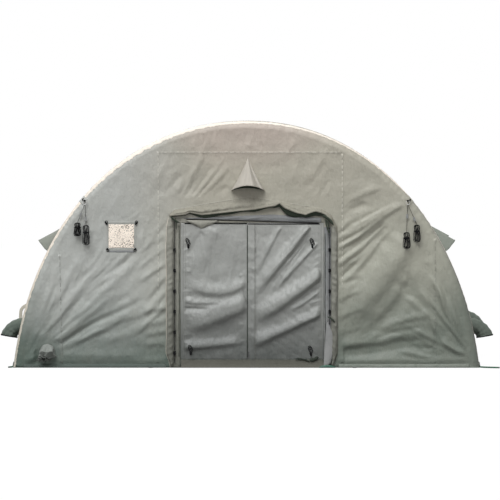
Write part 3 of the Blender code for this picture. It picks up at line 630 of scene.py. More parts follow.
class NodeKit:
    """Short ways to add nodes to a tree and join them."""

    def __init__(self, tree: Tree) -> None:
        """Keep the tree that nodes are added to."""
        self.tree = tree

    def give(self, node: Node, **values: object) -> None:
        """Set inputs of a node, named with _ for a space, or join sockets to them.

        Args:
            node: the node.
            values: value or socket of each input, by its name, or by its number after a _.
        """
        for name, value in values.items():
            slot = node.inputs[int(name[1:]) if name[1:].isdigit() else name.replace("_", " ")]
            if isinstance(value, Socket):
                self.tree.links.new(value, slot)
            elif value is not None:
                slot.default_value = (*value, 1.0) if slot.type == "RGBA" else value

    def add(self, kind: str, settings: dict[str, object] | None = None, **values: object) -> Node:
        """Add a shader node with its properties and inputs.

        Args:
            kind: type of the node.
            settings: properties of the node.
            values: its inputs, as for give.

        Returns:
            The node.
        """
        node = self.tree.nodes.new(kind if kind.startswith("Node") else "ShaderNode" + kind)
        for name, value in (settings or {}).items():
            setattr(node, name, value)
        self.give(node, **values)
        return node

    def math(self, operation: str, first: object, second: object = None) -> Socket:
        """A math node on sockets or numbers."""
        return self.add("Math", {"operation": operation}, _0=first, _1=second).outputs[0]

    def noise(self, vector: Socket, scale: float, detail: float = 3.0,
              roughness: float = 0.55) -> Socket:
        """Value of a noise texture."""
        return self.add("TexNoise", Scale=scale, Detail=detail, Roughness=roughness,
            Vector=vector).outputs["Fac"]

    def ramp(self, value: Socket, low: float, high: float) -> Socket:
        """The value mapped from low..high to 0..1, smoothly."""
        smooth = {"interpolation_type": "SMOOTHSTEP"}
        return self.add("MapRange", smooth, From_Min=low, From_Max=high, Value=value).outputs["Result"]

    def blend(self, share: object, first: object, second: object) -> Socket:
        """A colour between two colours or sockets."""
        return self.add("Mix", {"data_type": "RGBA"}, _0=share, _6=first, _7=second).outputs[2]

    def bump(self, height: Socket, distance: float, strength: float = 1.0,
             normal: Socket | None = None) -> Socket:
        """Normal of a surface raised by a height."""
        return self.add("Bump", Height=height, Distance=distance, Strength=strength, Normal=normal).outputs[0]


def new_group(name: str, inputs: list[str], outputs: list[str]) -> tuple[NodeKit, Sockets, Node]:
    """An empty shader node group with named sockets.

    Args:
        name: name of the group.
        inputs: labels of its inputs.
        outputs: labels of its outputs.

    Returns:
        A kit for its tree, its given sockets, and its output node.
    """
    tree = bpy.data.node_groups.new(name, "ShaderNodeTree")
    for way, labels in (("INPUT", inputs), ("OUTPUT", outputs)):
        for label in labels:
            kind = "NodeSocketVector" if label == "Vector" else "NodeSocketFloat"
            tree.interface.new_socket(label, in_out=way, socket_type=kind)
    kit = NodeKit(tree)
    return kit, kit.add("NodeGroupInput").outputs, kit.add("NodeGroupOutput")


def weave_group() -> Tree:
    """Plain weave: the height is a product of two sines on the cloth's own flat coordinates.

    Returns:
        The group.
    """
    kit, given, result = new_group("plain_weave", ["Vector", "Threads"], ["Height"])
    split = kit.add("SeparateXYZ", _0=given["Vector"]).outputs
    turns = [kit.math("MULTIPLY", split[axis], given["Threads"]) for axis in range(2)]
    waves = [kit.math("SINE", kit.math("MULTIPLY", turn, PI)) for turn in turns]
    kit.give(result, Height=kit.math("MULTIPLY", *waves))
    return kit.tree


def crinkle_group() -> Tree:
    """Small creases of packed canvas: ridged noise, |2n - 1|, stretched along the fold lines.

    Returns:
        The group.
    """
    kit, given, result = new_group("packed_creases", ["Vector", "Size"], ["Height"])
    scaled = kit.add("VectorMath", {"operation": "SCALE"}, _0=given["Vector"], Scale=given["Size"]).outputs[0]
    turned = kit.add("Mapping", Rotation=(0.1, 0.75, 0.2), Scale=(1.0, 1.0, 0.35), Vector=scaled).outputs[0]
    soft = kit.noise(turned, 1.0, 4.0, 0.5)
    ridge = kit.math("ABSOLUTE", kit.math("SUBTRACT", kit.math("MULTIPLY", soft, 2.0), 1.0))
    kit.give(result, Height=kit.math("ADD", kit.math("MULTIPLY", ridge, -0.6), kit.noise(scaled, 0.6, 3.0)))
    return kit.tree


def painted_light_group() -> Tree:
    """Painted light and shade by place: lighter towards the top and on the left, darker towards the ground,
    the outer sides and the right, and a warm painted sun glare at the crown.

    Returns:
        The group.
    """
    kit, given, result = new_group("painted_lighting", ["Vector"],
        ["Bleached", "Soiled", "Cloudy", "Sunned", "Left"])
    place = given["Vector"]
    x, _, z = kit.add("SeparateXYZ", _0=place).outputs
    wander = kit.math("MULTIPLY", kit.math("SUBTRACT", kit.noise(place, 0.9, 3.0), 0.5), 0.9)
    aside = kit.math("ABSOLUTE", x)
    level = kit.math("ADD", z, wander)
    # painted shade: darker towards the outer sides and towards the right
    level = kit.math("SUBTRACT", level, kit.math("MULTIPLY", kit.ramp(aside, 2.15, 2.75), 0.4))
    level = kit.math("SUBTRACT", level, kit.math("MULTIPLY", kit.ramp(x, -1.5, 2.2), 0.36))
    level = kit.math("ADD", level, 0.14)
    # painted sun glare: high on the wall and near its middle
    crown = kit.math("SUBTRACT", kit.ramp(z, 2.25, 2.85), kit.ramp(aside, 0.25, 1.3))
    # painted shade: darker towards the ground, less so low on the right
    soiled = kit.math("SUBTRACT", 1.0, kit.ramp(level, 0.0, 1.22))
    less_shade_right = kit.math("SUBTRACT", 1.0, kit.math("MULTIPLY", kit.ramp(x, 0.4, 1.6), 0.26))
    drawn = kit.add("Mapping", Scale=(1.0, 1.0, 0.16), Vector=place).outputs[0]
    streak = kit.ramp(kit.noise(drawn, 11.0, 3.0), 0.35, 0.75)
    fine = kit.ramp(kit.noise(place, 5.0, 4.0, 0.6), 0.3, 0.7)
    # Bleached is painted light, Soiled painted shade, Cloudy random patches, Glare painted sun glare, Left
    # painted light on the left
    kit.give(result, Bleached=kit.ramp(level, 0.9, 3.0), Soiled=kit.math("MULTIPLY", soiled, less_shade_right),
             Cloudy=kit.math("MULTIPLY", kit.math("ADD", fine, streak), 0.5),
             Sunned=kit.math("MAXIMUM", crown, 0.0), Left=kit.ramp(kit.math("MULTIPLY", x, -1.0), 0.3, 1.7))
    return kit.tree


class Effects:
    """The shared node groups, each built once."""

    def __init__(self) -> None:
        """Build the groups."""
        self.weave = weave_group()
        self.crinkle = crinkle_group()
        self.painted_light = painted_light_group()


def begin(name: str) -> tuple[Material, NodeKit, Node, Socket]:
    """A new material with its kit, its Principled BSDF and its object coordinates.

    Args:
        name: name of the material.

    Returns:
        The material, its kit, its shader and the socket of the coordinates.
    """
    material = bpy.data.materials.new(name)
    material.use_nodes = True
    kit = NodeKit(material.node_tree)
    return material, kit, kit.tree.nodes["Principled BSDF"], kit.add("TexCoord").outputs["Object"]


Colour = tuple[float, float, float]
# Painted light: the warm tint of the sun glare at the crown, and the cooler, lighter tint of the lit left
# side
GLARE_TINT: Colour = (0.47, 0.395, 0.345)
LEFT_LIGHT_TINT: Colour = (0.425, 0.44, 0.43)


@dataclass(frozen=True)
class ClothFinish:
    """Woven cloth with a weave, small creases, painted light and shade by place, and cloudy colour."""

    name: str
    slot: Slot
    colour: Colour
    bleached: Colour
    soiled: Colour
    threads: float = 420.0
    roughness: float = 0.85
    crease: float = 0.012
    crease_size: float = 9.0
    gloss: float = 0.25
    sunned: float = 0.0

    def build(self, effects: Effects) -> Material:
        """Make the material.

        Args:
            effects: the shared node groups.

        Returns:
            The material.
        """
        material, kit, shader, place = begin(self.name)
        painted_light = kit.add("Group", {"node_tree": effects.painted_light}, Vector=place).outputs
        # painted light: lighter towards the top
        tone = kit.blend(painted_light["Bleached"], self.colour, self.bleached)
        if self.sunned:
            # painted light: the left of the wall lighter and cooler
            tone = kit.blend(kit.math("MULTIPLY", painted_light["Left"], 0.72), tone, LEFT_LIGHT_TINT)
        # painted shade: darker towards the ground
        tone = kit.blend(painted_light["Soiled"], tone, self.soiled)
        if self.sunned:
            # painted sun glare at the crown
            tone = kit.blend(kit.math("MULTIPLY", painted_light["Sunned"], self.sunned), tone, GLARE_TINT)
        cloudy = kit.math("MULTIPLY", painted_light["Cloudy"], 0.2)
        tone = kit.blend(cloudy, tone, tuple(0.72 * c for c in self.colour))
        crinkle = kit.add("Group", {"node_tree": effects.crinkle}, Size=self.crease_size, Vector=place)
        flat = kit.add("TexCoord").outputs["UV"]
        weave = kit.add("Group", {"node_tree": effects.weave}, Threads=self.threads, Vector=flat)
        creased = kit.bump(crinkle.outputs[0], self.crease)
        woven = kit.bump(weave.outputs[0], 0.0004, 0.5, creased)
        kit.give(shader, Base_Color=tone, Roughness=self.roughness, Specular_IOR_Level=self.gloss,
            Normal=woven)
        return material


@dataclass(frozen=True)
class PlainFinish:
    """Moulded, coated or braided stuff: one colour broken by fine noise, with a small grain."""

    name: str
    slot: Slot
    colour: Colour
    worn: Colour
    roughness: float = 0.5
    metallic: float = 0.0
    grain: float = 300.0
    depth: float = 0.0004
    gloss: float = 0.5

    def build(self, effects: Effects) -> Material:
        """Make the material.

        Args:
            effects: the shared node groups.

        Returns:
            The material.
        """
        material, kit, shader, place = begin(self.name)
        patch = kit.ramp(kit.noise(place, 22.0, 4.0), 0.45, 0.75)
        kit.give(shader, Metallic=self.metallic, Specular_IOR_Level=self.gloss,
                 Base_Color=kit.blend(patch, self.colour, self.worn),
                 Roughness=kit.math("ADD", kit.math("MULTIPLY", patch, 0.12), self.roughness),
                 Normal=kit.bump(kit.noise(place, self.grain, 2.0), self.depth))
        return material


@dataclass(frozen=True)
class SpeckledFinish:
    """Window panel: pale cloth thick with small dark specks, some run together."""

    name: str = "speckled_panel"
    slot: Slot = Slot.PANEL
    colour: Colour = (0.98, 0.87, 0.75)
    speck: Colour = (0.1, 0.08, 0.06)

    def build(self, effects: Effects) -> Material:
        """Make the material.

        Args:
            effects: the shared node groups.

        Returns:
            The material.
        """
        material, kit, shader, place = begin(self.name)
        cells = kit.noise(place, 105.0, 2.0, 0.6)
        mixed = kit.math("ADD", cells, kit.math("MULTIPLY", kit.noise(place, 14.0, 2.0), 0.25))
        kit.give(shader, Base_Color=kit.blend(kit.ramp(mixed, 0.68, 0.74), self.colour, self.speck),
                 Roughness=0.6, Normal=kit.bump(cells, 0.001))
        return material


class Wardrobe:
    """Every finish of the tent, made once, with its slot."""

    def __init__(self) -> None:
        """Build the shared effects and all materials."""
        effects = Effects()
        finishes = {
            Look.WALL: ClothFinish("wall_canvas", Slot.CANVAS, (0.345, 0.342, 0.283), (0.428, 0.392, 0.325),
                (0.058, 0.085, 0.069), roughness=0.5, crease=0.018, gloss=0.42, sunned=0.8),
            Look.LEAF: ClothFinish("leaf_canvas", Slot.CANVAS, (0.276, 0.282, 0.264), (0.45, 0.445, 0.42),
                (0.05, 0.056, 0.051), roughness=0.43, crease=0.02, gloss=0.55),
            Look.ROOF: ClothFinish("roof_canvas", Slot.CANVAS, (0.37, 0.365, 0.325), (0.46, 0.43, 0.385),
                (0.11, 0.135, 0.115)),
            Look.HOOD: ClothFinish("hood_canvas", Slot.CANVAS, (0.37, 0.355, 0.315), (0.5, 0.46, 0.4),
                (0.22, 0.235, 0.205)),
            Look.DUCT: ClothFinish("duct_canvas", Slot.CANVAS, (0.34, 0.35, 0.33), (0.36, 0.36, 0.33),
                (0.2, 0.215, 0.195), crease=0.018, crease_size=26.0),
            Look.SLEEVE: ClothFinish("sleeve_canvas", Slot.CANVAS, (0.2, 0.215, 0.185), (0.27, 0.27, 0.24),
                (0.095, 0.118, 0.098)),
            Look.EDGE: ClothFinish("edge_cloth", Slot.EDGE, (0.258, 0.256, 0.22), (0.37, 0.355, 0.305),
                (0.132, 0.134, 0.113), crease=0.012, crease_size=24.0),
            Look.FLAP: ClothFinish("flap_cloth", Slot.EDGE, (0.26, 0.25, 0.205), (0.345, 0.325, 0.27),
                (0.15, 0.15, 0.12), crease=0.02, crease_size=16.0),
            Look.SILL: ClothFinish("sill_cloth", Slot.EDGE, (0.163, 0.16, 0.132), (0.28, 0.27, 0.23),
                (0.092, 0.09, 0.075), crease=0.012, crease_size=16.0),
            Look.CREAM: ClothFinish("cream_tape", Slot.EDGE, (0.78, 0.7, 0.6), (0.84, 0.77, 0.68),
                (0.52, 0.49, 0.41), crease=0.003, crease_size=30.0),
            Look.PALE: ClothFinish("pale_lining", Slot.EDGE, (0.245, 0.25, 0.25), (0.245, 0.25, 0.25),
                (0.265, 0.265, 0.255), crease=0.012, crease_size=18.0),
            # Dark hem canvas: painted shade along the ground
            Look.HEM: ClothFinish("ground_hem_shaded_canvas", Slot.CANVAS, (0.12, 0.14, 0.125), (0.16, 0.17, 0.15),
                (0.085, 0.105, 0.092), crease_size=14.0),
            Look.DARK: ClothFinish("shaded_fold_cloth", Slot.CANVAS, (0.034, 0.044, 0.031),
                (0.04, 0.05, 0.036), (0.03, 0.036, 0.028), crease=0.006, crease_size=24.0),
            Look.THREAD: PlainFinish("seam_thread", Slot.EDGE, (0.7, 0.68, 0.6), (0.55, 0.53, 0.47), 0.8),
            Look.SHADE_THREAD: PlainFinish("dark_seam_thread", Slot.CANVAS, (0.17, 0.17, 0.15),
                (0.25, 0.25, 0.22), 0.85),
            Look.BEAM: PlainFinish("beam_skin", Slot.BEAM, (0.1, 0.12, 0.1), (0.14, 0.16, 0.13), 0.5,
                grain=120.0),
            Look.FLOOR: PlainFinish("floor_skin", Slot.FLOOR, (0.12, 0.15, 0.12), (0.17, 0.19, 0.15), 0.6,
                grain=160.0),
            Look.CORD: PlainFinish("black_cord", Slot.CORD, (0.007, 0.007, 0.008), (0.018, 0.018, 0.018),
                0.85, grain=900.0, depth=0.0006, gloss=0.12),
            Look.RUNNER: PlainFinish("grey_runner", Slot.RUNNER, (0.21, 0.215, 0.21), (0.3, 0.3, 0.29), 0.45),
            Look.RING: PlainFinish("steel_ring", Slot.RUNNER, (0.45, 0.45, 0.44), (0.3, 0.29, 0.27), 0.35,
                1.0),
            Look.ROPE: PlainFinish("green_rope", Slot.ROPE, (0.018, 0.085, 0.045), (0.05, 0.14, 0.09), 0.75,
                grain=600.0, depth=0.0008),
            Look.TONGUE: PlainFinish("green_floor_sheet", Slot.FLOOR, (0.012, 0.065, 0.038),
                (0.03, 0.1, 0.07), 0.5, grain=160.0),
            Look.PANEL: SpeckledFinish(),
            Look.PLASTIC: PlainFinish("valve_plastic", Slot.PLASTIC, (0.035, 0.035, 0.035),
                (0.07, 0.07, 0.07), 0.42),
        }
        self.slots = {key: finish.slot for key, finish in finishes.items()}
        self.made = {key: finish.build(effects) for key, finish in finishes.items()}

    def dress(self, thing: Piece, key: Look, *nodes: str,
            body: Body = Body.SHELTER) -> Piece:
        """Give a piece its material, let it ride, and let it stand for CAD nodes.

        Args:
            thing: the piece, in place.
            key: name of the finish.
            nodes: CAD nodes that it stands for.
            body: what the piece rides on.

        Returns:
            The piece.
        """
        thing.data.materials.clear()
        thing.data.materials.append(self.made[key])
        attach(thing, body.value)
        if nodes:
            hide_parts(*nodes)
        log.info("piece %s rides on %s in %s", thing.name, body.value, key.value)
        return thing

    def dress_node(self, node: str, key: Look) -> None:
        """Give a CAD node that stays in view a finished material.

        Args:
            node: name of the CAD node.
            key: name of the finish.
        """
        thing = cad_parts[node]
        for slot in thing.material_slots:
            slot.material = self.made[key]
        if not thing.material_slots:
            thing.data.materials.append(self.made[key])
        log.info("node %s in %s", node, key.value)


class Dresser:
    """What sub-assemblies share: a wardrobe for their pieces, and a word for their side."""

    wardrobe: Wardrobe
    side: int

    def dress(self, thing: Piece, key: Look, *nodes: str,
            body: Body = Body.SHELTER) -> Piece:
        """Dress a piece from the wardrobe."""
        return self.wardrobe.dress(thing, key, *nodes, body=body)

    @property
    def word(self) -> str:
        """Left or right, for names."""
        return "left" if self.side < 0 else "right"


# The section of the tent


@dataclass
class TunnelSection:
    """The oval section: x = half |cos t|^(2/p), z = rise sin t^(2/p) - drop, by arc length."""

    width: float = 5.6
    height: float = 2.96
    drop: float = 0.6
    power: float = 2.1
    trace: Array = field(init=False)
    run: Array = field(init=False)
    out: Array = field(init=False)

    def __post_init__(self) -> None:
        """Work out a fine trace of the section with its outward normals."""
        rise = self.height + self.drop
        share = self.drop / rise
        half = self.width / 2 / (1 - share**self.power) ** (1 / self.power)
        start = math.asin(share ** (self.power / 2))
        t = np.linspace(start, PI / 2, 3000)
        x = half * np.abs(np.cos(t)) ** (2 / self.power)
        x[-1] = 0
        z = rise * np.sin(t) ** (2 / self.power) - self.drop
        side = coords(x, z)
        self.trace = resampled(np.concatenate([side * [-1, 1], side[::-1][1:]]), 2401)
        self.run = run_of(self.trace)
        ahead = unit(np.gradient(self.trace, axis=0))
        self.out = coords(-ahead[:, 1], ahead[:, 0])

    @property
    def length(self) -> float:
        """Length of the section from foot to foot."""
        return float(self.run[-1])

    def at(self, share: Array, inset: Array | float = 0.0) -> tuple[Array, Array]:
        """Points and normals of the section drawn in by a distance.

        Args:
            share: share of the way from the left foot over the top to the right foot.
            inset: distance inwards.

        Returns:
            Points (x, z) and outward normals (x, z).
        """
        way = np.asarray(share, float) * self.run[-1]
        out = unit(read_off(way, self.run, self.out))
        point = read_off(way, self.run, self.trace) - np.asarray(inset)[..., None] * out
        point[..., 1] = np.maximum(point[..., 1], FLOOR)
        return point, out

    def share_at(self, side: int, height: float) -> float:
        """Share of the way round at a height, on side -1 or +1.

        Args:
            side: -1 for the left side, 1 for the right.
            height: height over the ground.

        Returns:
            Share of the way from the left foot.
        """
        middle = len(self.trace) // 2
        way = np.interp(height, self.trace[: middle + 1, 1], self.run[: middle + 1]) / self.run[-1]
        return float(way if side < 0 else 1 - way)

    def outline(self, inset: float) -> Array:
        """The drawn-in section as a fine line."""
        return self.at(np.linspace(0, 1, 1201), inset)[0]


def dip(y: Array) -> Array:
    """How far the cover dips between two arches: sag (1 - cos(2 pi (y - y0) / bay)) / 2."""
    inside = (y > ARCH_Y[0]) & (y < ARCH_Y[-1])
    return np.where(inside, SAG * (1 - np.cos(TAU * (y - ARCH_Y[0]) / BAY)) / 2, 0.0)


@dataclass
class CoverShell(Dresser):
    """The roof and both side walls, rounded over the end arches, with tapes and seams."""

    section: TunnelSection
    wardrobe: Wardrobe
    across: float = 0.042
    seam_share: float = 0.25
    seam_gap: float = 0.0009
    skin: float = 0.003
    pucker: float = 0.004
    reach: float = 3.06         # half its length between the rims

    def free(self, y: Array) -> Array:
        """How free the cloth is of the rims, from 0 to 1."""
        return ease((self.reach + 0.02 - np.abs(y)) / 0.25)

    def rows(self, turns: int = 5) -> tuple[Array, Array, Array]:
        """Places along the tent.

        Args:
            turns: steps round each rim.

        Returns:
            y of each row, its inset, and how free it is of the rims, from 0 to 1.
        """
        a = np.linspace(math.radians(50), PI / 2, turns + 1)
        rim_y = FRONT + RIM * (1 - np.cos(a))
        rim_in = RIM * (1 - np.sin(a))
        middle = np.linspace(-self.reach, self.reach, int(2 * self.reach / self.across))
        y = np.concatenate([rim_y, middle, -rim_y[::-1]])
        inset = np.concatenate([rim_in, dip(middle), rim_in[::-1]])
        return y, inset, self.free(y)

    def sink(self, way: Array, y: Array) -> Array:
        """Extra depth of the cloth: puckers by the arches, hollows in the bays.

        Args:
            way: distance round the section.
            y: place along the tent.

        Returns:
            Depths in metres.
        """
        gap = np.abs(y[..., None] - ARCH_Y).min(-1)
        by_arch = bell(gap, 0.22) * (0.1 + 0.9 * (1 - bell(gap, 0.05)))
        rows = self.pucker * (1 + np.sin(TAU * way / 0.19 + 2.2 * ripple(way, y, 0.9, 5)))
        bay = 0.009 * (1 + ripple(way, y, 0.8, 11)) * (1 - bell(gap, 0.3))
        bay = bay + 0.0025 * ripple(way, 0.4 * y, 0.24, 12) * (1 - bell(gap, 0.12))
        return rows * by_arch + bay

    def point(self, share: Array, y: Array, inset: Array, free: Array, lift: float = 0.0) -> Array:
        """Points of the cover's outer face, raised by a lift.

        Args:
            share: share of the way round the section.
            y: place along the tent.
            inset: how far the row is drawn in.
            free: how free of the rims it is.
            lift: height over the face.

        Returns:
            The points.
        """
        way = share * self.section.length
        beside = np.min([np.abs(share - purlin) for purlin in PURLIN_SHARES], axis=0) * self.section.length
        # Cloth goes no deeper than the beams behind it let it: least over the purlins
        deepest = 0.045 - 0.0245 * np.exp(-((beside / 0.12) ** 4))
        deepest = np.where(inset > 0.03, 1.0, deepest)
        depth = np.minimum(inset + free * self.sink(way, y), deepest) - lift
        place, _ = self.section.at(share, depth)
        return coords(place[..., 0], y, place[..., 1])

    def laid(self, share: Array, y: Array, lift: float = 0.0) -> Array:
        """Points of the outer face between the rims, raised by a lift."""
        return self.point(share, y, dip(y), self.free(y), lift)

    def face_at(self, side: int, height: Array, y: Array, lift: float = 0.0) -> Array:
        """Points of a side wall's face at given heights and places along the tent."""
        share = np.array([self.section.share_at(side, h) for h in height])
        return self.laid(share, y, lift)

    def panel(self, name: str, low: float, high: float) -> Piece:
        """One panel of the cover between two shares of the section.

        Args:
            name: name of the piece.
            low: share of the section where it starts.
            high: share where it ends.

        Returns:
            The panel.
        """
        total = self.section.length
        share = np.linspace(low, high, max(3, round((high - low) * total / self.across)))
        y, inset, free = (row[:, None] for row in self.rows())
        grid = self.point(*np.broadcast_arrays(share, y, inset, free))
        panel = cloth(name, grid, self.skin)
        return panel

    def build(self) -> None:
        """Make the panels, the rim tapes of painted highlight and the lapped seams with their stitches."""
        half = self.seam_gap / 2 / self.section.length
        low, high = self.seam_share, 1 - self.seam_share
        self.dress(self.panel("cover_side_left", 0, low - half), Look.ROOF, "side_wall_left")
        self.dress(self.panel("cover_roof", low + half, high - half), Look.ROOF, "roof_cover")
        self.dress(self.panel("cover_side_right", high + half, 1), Look.ROOF, "side_wall_right")
        for side, share in (("left", low), ("right", high)):
            self.seam_tape(side, share)
        for number, y in enumerate(ARCH_Y[1:3], 1):
            self.bay_seam(number, float(y))
        for side, word in SIDES:
            self.side_hem(word, side)
        self.rim_highlight_tapes()

    def bay_seam(self, number: int, y: float) -> None:
        """The lapped seam of the cover over an inner arch, with two rows of stitches.

        Args:
            number: number of the seam.
            y: place along the tent.
        """
        share = np.linspace(0.004, 0.996, 240)
        path = self.laid(share, np.full_like(share, y), 0.001)
        _, out = self.section.at(share)
        normal = coords(out[:, 0], 0, out[:, 1])
        tape = ribbon(f"bay_seam_{number}", path, Y_WAY, normal, 0.05, 0.0025)
        self.dress(tape, Look.ROOF)
        rows = [path + (0, shift, 0) + normal * 0.0028 for shift in (-0.016, 0.016)]
        self.dress(stitches(f"bay_seam_thread_{number}", rows, normal, 0.03), Look.THREAD)

    def side_hem(self, word: str, side: int) -> None:
        """Turned-up hem along the ground on one side: a rolled profile carried from end to end.

        Args:
            word: name of the side.
            side: -1 for the left side, 1 for the right.
        """
        y = np.linspace(-3.1, 3.1, 180)
        share = np.full_like(y, self.section.share_at(side, FLOOR + 0.04))
        foot = self.laid(share, y)
        profile = np.array([(0.0, 0.0), (0.018, 0.0), (0.021, 0.01), (0.014, 0.034), (0.007, 0.064),
            (0.0, 0.07)])
        wave = 1 + 0.25 * ripple(y, 0, 0.3, 74)[:, None]
        x = foot[:, :1] + side * (0.002 + profile[:, 0] * wave)
        z = HEM_FOOT + profile[:, 1]
        rings = coords(x, y[:, None], z)
        # dark hem finish: painted shade along the ground
        self.dress(loft(f"ground_hem_side_{word}", rings[:, ::side]), Look.HEM)

    def seam_tape(self, side: str, share: float) -> None:
        """The lapped seam between roof and side wall, with two rows of stitches.

        Args:
            side: name of the side.
            share: share of the way round the section.
        """
        y = np.linspace(-self.reach, self.reach, 160)
        path = self.laid(np.full_like(y, share), y, 0.0005)
        _, out = self.section.at(np.array([share]))
        normal = np.array([out[0, 0], 0, out[0, 1]])
        along = np.array([out[0, 1], 0, -out[0, 0]])
        tape = ribbon(f"roof_seam_{side}", path, along, normal, 0.045, 0.0025)
        self.dress(tape, Look.ROOF)
        rows = [path + along * shift + normal * 0.0028 for shift in (-0.014, 0.014)]
        self.dress(stitches(f"roof_seam_thread_{side}", rows, normal, 0.02), Look.THREAD)

    def ruck(self, way: Array, turn: Array) -> Array:
        """Puckers of the cloth by its edge tape: crests across the rim, of uneven spacing.

        Args:
            way: distance round the section.
            turn: angle about the rim.

        Returns:
            Heights in metres.
        """
        waver = TAU * way / 0.085 + 3.2 * ripple(way, 0, 0.7, 21)
        crest = np.maximum(np.sin(waver + 0.5 * turn), -0.3) + 0.5 * ripple(way, turn * 0.03, 0.13, 22)
        return 0.0042 * crest * (0.55 + 0.45 * ripple(way, 0, 1.1, 23))

    def rim_highlight_tapes(self) -> None:
        """Cream tape on the end walls' cloth where it goes over the rims, from an angle that grows
        from left to right; its cream is painted highlight of the sunlit rims, so it is widest on the left."""
        share = np.linspace(0.0, 1.0, 900)
        way = share * self.section.length
        uneven = (2.5 + 3.5 * bell(share, 0.14, 0.33)) * ripple(way, 0, 0.07, 24) * (share < 0.7)
        # the tape starts further round the rim to the right, so its painted highlight is widest on the left
        first = 46 + 9 * ease((share - 0.5) / 0.25) + 18.5 * ease((share - 0.72) / 0.05)
        first = np.radians(np.minimum(first - 13 * bell(share, 0.12, 0.36) + uneven, 73.5))
        for name, sign in (("front", 1), ("rear", -1)):
            tape = []
            for step in np.linspace(0, 1, 6):
                turn = first + (np.radians(74) - first) * step
                ruck = np.maximum(self.ruck(way, turn), -0.001) * (0.3 + 0.7 * np.sin(turn))
                lift = 0.0038 + ruck * (1 - 0.8 * ease((step - 0.5) * 2))
                tape.append(self.rim_row(share, turn, lift, sign))
            self.dress(cloth(f"rim_highlight_tape_{name}", np.array(tape)[::sign], 0.0018), Look.CREAM)

    def rim_row(self, share: Array, turn: Array, lift: Array, sign: int) -> Array:
        """Points round the section at a turn about the rim, raised by a lift.

        Args:
            share: share of the way round the section.
            turn: angle about the rim.
            lift: height over the rim.
            sign: 1 at the front, -1 at the rear.

        Returns:
            The points.
        """
        y = (FRONT + RIM - (RIM + lift) * np.cos(turn)) * sign
        place, _ = self.section.at(share, RIM - (RIM + lift) * np.sin(turn))
        return coords(place[:, 0], y, place[:, 1])


# End walls


@dataclass(frozen=True)
class Hole:
    """An opening in an end wall: a rectangle, or a circle where it has a radius."""

    x: tuple[float, float]
    z: tuple[float, float]
    radius: float = 0.0

    @property
    def centre(self) -> tuple[float, float]:
        """Middle of the opening."""
        return sum(self.x) / 2, sum(self.z) / 2


def round_hole(x: float, z: float, radius: float) -> Hole:
    """A round opening about a point."""
    return Hole((x - radius, x + radius), (z - radius, z + radius), radius)


